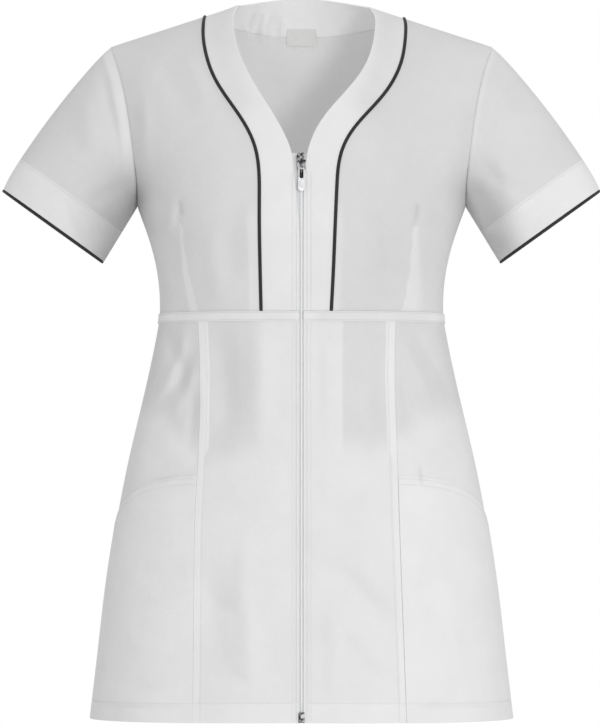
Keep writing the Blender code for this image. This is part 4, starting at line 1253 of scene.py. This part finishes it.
class TUNIC_OT_zip_coil(bpy.types.Operator):
    """Close the zip with its two coils, open above the slider"""
    bl_idname = "tunic.zip_coil"
    bl_label = "Zip coil"

    def execute(self, context):
        tapes = [bpy.data.objects[f"zip_tape_{side}_finish"] for side in SIDES]
        tree = surface_of(tapes)
        points, faces = bead(6, 5)
        head = 1.0 + HEAD_SWELL * np.exp(-((points[:, 0] - HEAD_AT) / HEAD_WIDTH) ** 2)
        points[:, 1:] *= head[:, None]
        for name, side in SIDES.items():
            places = []
            offset = 0.0 if side > 0 else TOOTH_PITCH / 2.0
            for height in np.arange(COIL_BOTTOM_Z + offset, COIL_TOP_Z, TOOTH_PITCH):
                spread = np.clip((height - COIL_SPREAD_Z) / (COIL_TOP_Z - COIL_SPREAD_Z), 0.0, 1.0)
                inner = COIL_SPREAD * spread - TOOTH_OVERLAP
                middle = side * (inner + TOOTH_LENGTH / 2.0)
                hit = cast(tree, (side * (inner + TOOTH_LENGTH), RAY_START_Y, height), BACKWARDS)
                in_slider = SLIDER_CLEAR[0] < height < SLIDER_CLEAR[1] and abs(middle) < SLIDER_HALF_WIDTH
                if hit is None or in_slider:
                    continue
                depth = hit[0][1] - TOOTH_STAND * (1.0 - 0.5 * spread)
                places.append(((middle, depth, height), (side * TOOTH_LENGTH / 2.0, 0.0, 0.0),
                               (0.0, side * TOOTH_RADIUS, 0.0), (0.0, 0.0, TOOTH_RADIUS)))
            piece = joined_copies("zip_coil_" + name, points, faces, places)
            finish_piece(piece, coil_material(), sharp=SMALL_SHARP)
        return {"FINISHED"}


class TUNIC_OT_topstitching(bpy.types.Operator):
    """Sew the rows of topstitching along the zip, seams, pocket mouths, waist strip and hems"""
    bl_idname = "tunic.topstitching"
    bl_label = "Topstitching"

    def execute(self, context):
        body = [piece for piece in bpy.data.objects
                if piece.name.startswith(("skirt", "waist", "pocket", "neck_band_front", "bodice"))
                and piece.name.endswith("_finish")]
        tree = surface_of(body)
        for side in SIDES:
            places = []
            for row in front_rows(side):
                places.extend(stitch_places(front_hits(tree, row.points)))
            thread_piece("stitches_front_" + side, places)
        middle = np.array([0.0, 0.0, HEM_Z + HEM_DEPTH])
        hits = ring_hits(tree, middle, ACROSS, BODY_REACH, HEM_RISE_AT_FRONT)
        thread_piece("stitches_hem", stitch_places(hits))
        places = []
        for height in (STRIP_TOP_ROW, STRIP_LOW_ROW):
            middle = np.array([0.0, 0.0, height])
            places.extend(stitch_places(ring_hits(tree, middle, ACROSS, BODY_REACH)))
        thread_piece("stitches_waist", places)
        for name, side in SIDES.items():
            sleeve = surface_of([bpy.data.objects[f"sleeve_{name}_finish"]])
            out = np.array([side * math.sin(SLEEVE_SLOPE), 0.0, -math.cos(SLEEVE_SLOPE)])
            over = np.array([side * math.cos(SLEEVE_SLOPE), 0.0, math.sin(SLEEVE_SLOPE)])
            middle = np.array([side * SLEEVE_OUT, 0.0, SLEEVE_Z]) - out * SLEEVE_STITCH_RISE
            hits = ring_hits(sleeve, middle, over, SLEEVE_REACH)
            thread_piece("stitches_sleeve_" + name, stitch_places(hits))
        return {"FINISHED"}


class TUNIC_OT_metal(bpy.types.Operator):
    """Plate the slider, its pull tab and the bottom box"""
    bl_idname = "tunic.metal"
    bl_label = "Zip metal"

    def execute(self, context):
        for node in ("zip_slider", "zip_pull_tab", "zip_box"):
            part = frame["nodes"][node]
            for slot in part.material_slots:
                slot.material = bright_nickel_material() if node == "zip_pull_tab" else nickel_material()
        return {"FINISHED"}


class TUNIC_OT_stage(bpy.types.Operator):
    """Set the pale floor, the soft light and the camera"""
    bl_idname = "tunic.stage"
    bl_label = "Stage"

    def execute(self, context):
        settings = context.scene.tunic_stage
        bpy.ops.object.select_all(action="DESELECT")
        bpy.ops.mesh.primitive_plane_add(size=2.0 * FLOOR_HALF, location=(0.0, 0.0, FLOOR_Z))
        floor = context.active_object
        floor.name = "floor"
        floor.data.materials.append(floor_material())
        context.scene.world = self.studio(settings.world)
        context.scene.view_settings.view_transform = "Standard"
        self.area_light("key", settings.key, KEY_LAMP)
        self.area_light("top", settings.top, TOP_LAMP)
        camera = bpy.data.cameras.new("camera")
        camera.sensor_width = SENSOR
        camera.lens = SENSOR * CAMERA_DISTANCE / FRAME_HEIGHT
        camera.shift_x = FRAME_MIDDLE_X / FRAME_HEIGHT
        camera.shift_y = (FRAME_MIDDLE_Z - CAMERA_Z) / FRAME_HEIGHT
        camera.clip_end = 100.0
        eye = bpy.data.objects.new("camera", camera)
        eye.location = (0.0, -CAMERA_DISTANCE, CAMERA_Z)
        eye.rotation_euler = (math.pi / 2.0, 0.0, 0.0)
        context.collection.objects.link(eye)
        context.scene.camera = eye
        return {"FINISHED"}

    def studio(self, strength):
        """White room that lights the cloth softly and stays white behind it."""
        world = bpy.data.worlds.new("studio")
        world.use_nodes = True
        tree = world.node_tree
        light = tree.nodes["Background"]
        light.inputs["Color"].default_value = WHITE
        light.inputs["Strength"].default_value = strength
        backdrop = tree.nodes.new("ShaderNodeBackground")
        backdrop.inputs["Color"].default_value = WHITE
        seen = tree.nodes.new("ShaderNodeLightPath")
        choice = tree.nodes.new("ShaderNodeMixShader")
        tree.links.new(seen.outputs["Is Camera Ray"], choice.inputs["Fac"])
        tree.links.new(light.outputs["Background"], choice.inputs[1])
        tree.links.new(backdrop.outputs["Background"], choice.inputs[2])
        tree.links.new(choice.outputs["Shader"], tree.nodes["World Output"].inputs["Surface"])
        return world

    def area_light(self, name, power, lamp):
        """Square light of this power, turned to its target."""
        light = bpy.data.lights.new(name, "AREA")
        light.energy = power
        light.size = lamp.size
        made = bpy.data.objects.new(name, light)
        made.location = lamp.place
        way = Vector(lamp.target) - Vector(lamp.place)
        made.rotation_euler = way.to_track_quat("-Z", "Y").to_euler()
        bpy.context.collection.objects.link(made)


OPERATORS = (TUNIC_OT_bodice, TUNIC_OT_sleeves, TUNIC_OT_neck_band, TUNIC_OT_skirt, TUNIC_OT_piping,
             TUNIC_OT_label, TUNIC_OT_zip_tapes, TUNIC_OT_zip_coil, TUNIC_OT_topstitching,
             TUNIC_OT_metal, TUNIC_OT_stage)


class TUNIC_PT_panel(bpy.types.Panel):
    """Sizes, colours and steps of the tunic"""
    bl_idname = "TUNIC_PT_panel"
    bl_label = "Work Tunic"
    bl_space_type = "VIEW_3D"
    bl_region_type = "UI"
    bl_category = "Tunic"

    def draw(self, context):
        layout = self.layout
        for group in (context.scene.tunic_cloth, context.scene.tunic_trim, context.scene.tunic_stage):
            for name in group.__annotations__:
                layout.prop(group, name)
        for operator in OPERATORS:
            layout.operator(operator.bl_idname)


CLASSES = (ClothSettings, TrimSettings, StageSettings, *OPERATORS, TUNIC_PT_panel)


def register():
    for item in CLASSES:
        bpy.utils.register_class(item)
    bpy.types.Scene.tunic_cloth = PointerProperty(type=ClothSettings)
    bpy.types.Scene.tunic_trim = PointerProperty(type=TrimSettings)
    bpy.types.Scene.tunic_stage = PointerProperty(type=StageSettings)


def unregister():
    del bpy.types.Scene.tunic_stage
    del bpy.types.Scene.tunic_trim
    del bpy.types.Scene.tunic_cloth
    for item in reversed(CLASSES):
        bpy.utils.unregister_class(item)


def main():
    register()
    bpy.ops.tunic.bodice()
    bpy.ops.tunic.sleeves()
    bpy.ops.tunic.neck_band()
    bpy.ops.tunic.skirt()
    bpy.ops.tunic.piping()
    bpy.ops.tunic.label()
    bpy.ops.tunic.zip_tapes()
    bpy.ops.tunic.zip_coil()
    bpy.ops.tunic.topstitching()
    bpy.ops.tunic.metal()
    bpy.ops.tunic.stage()


if __name__ == "__main__":
    main()
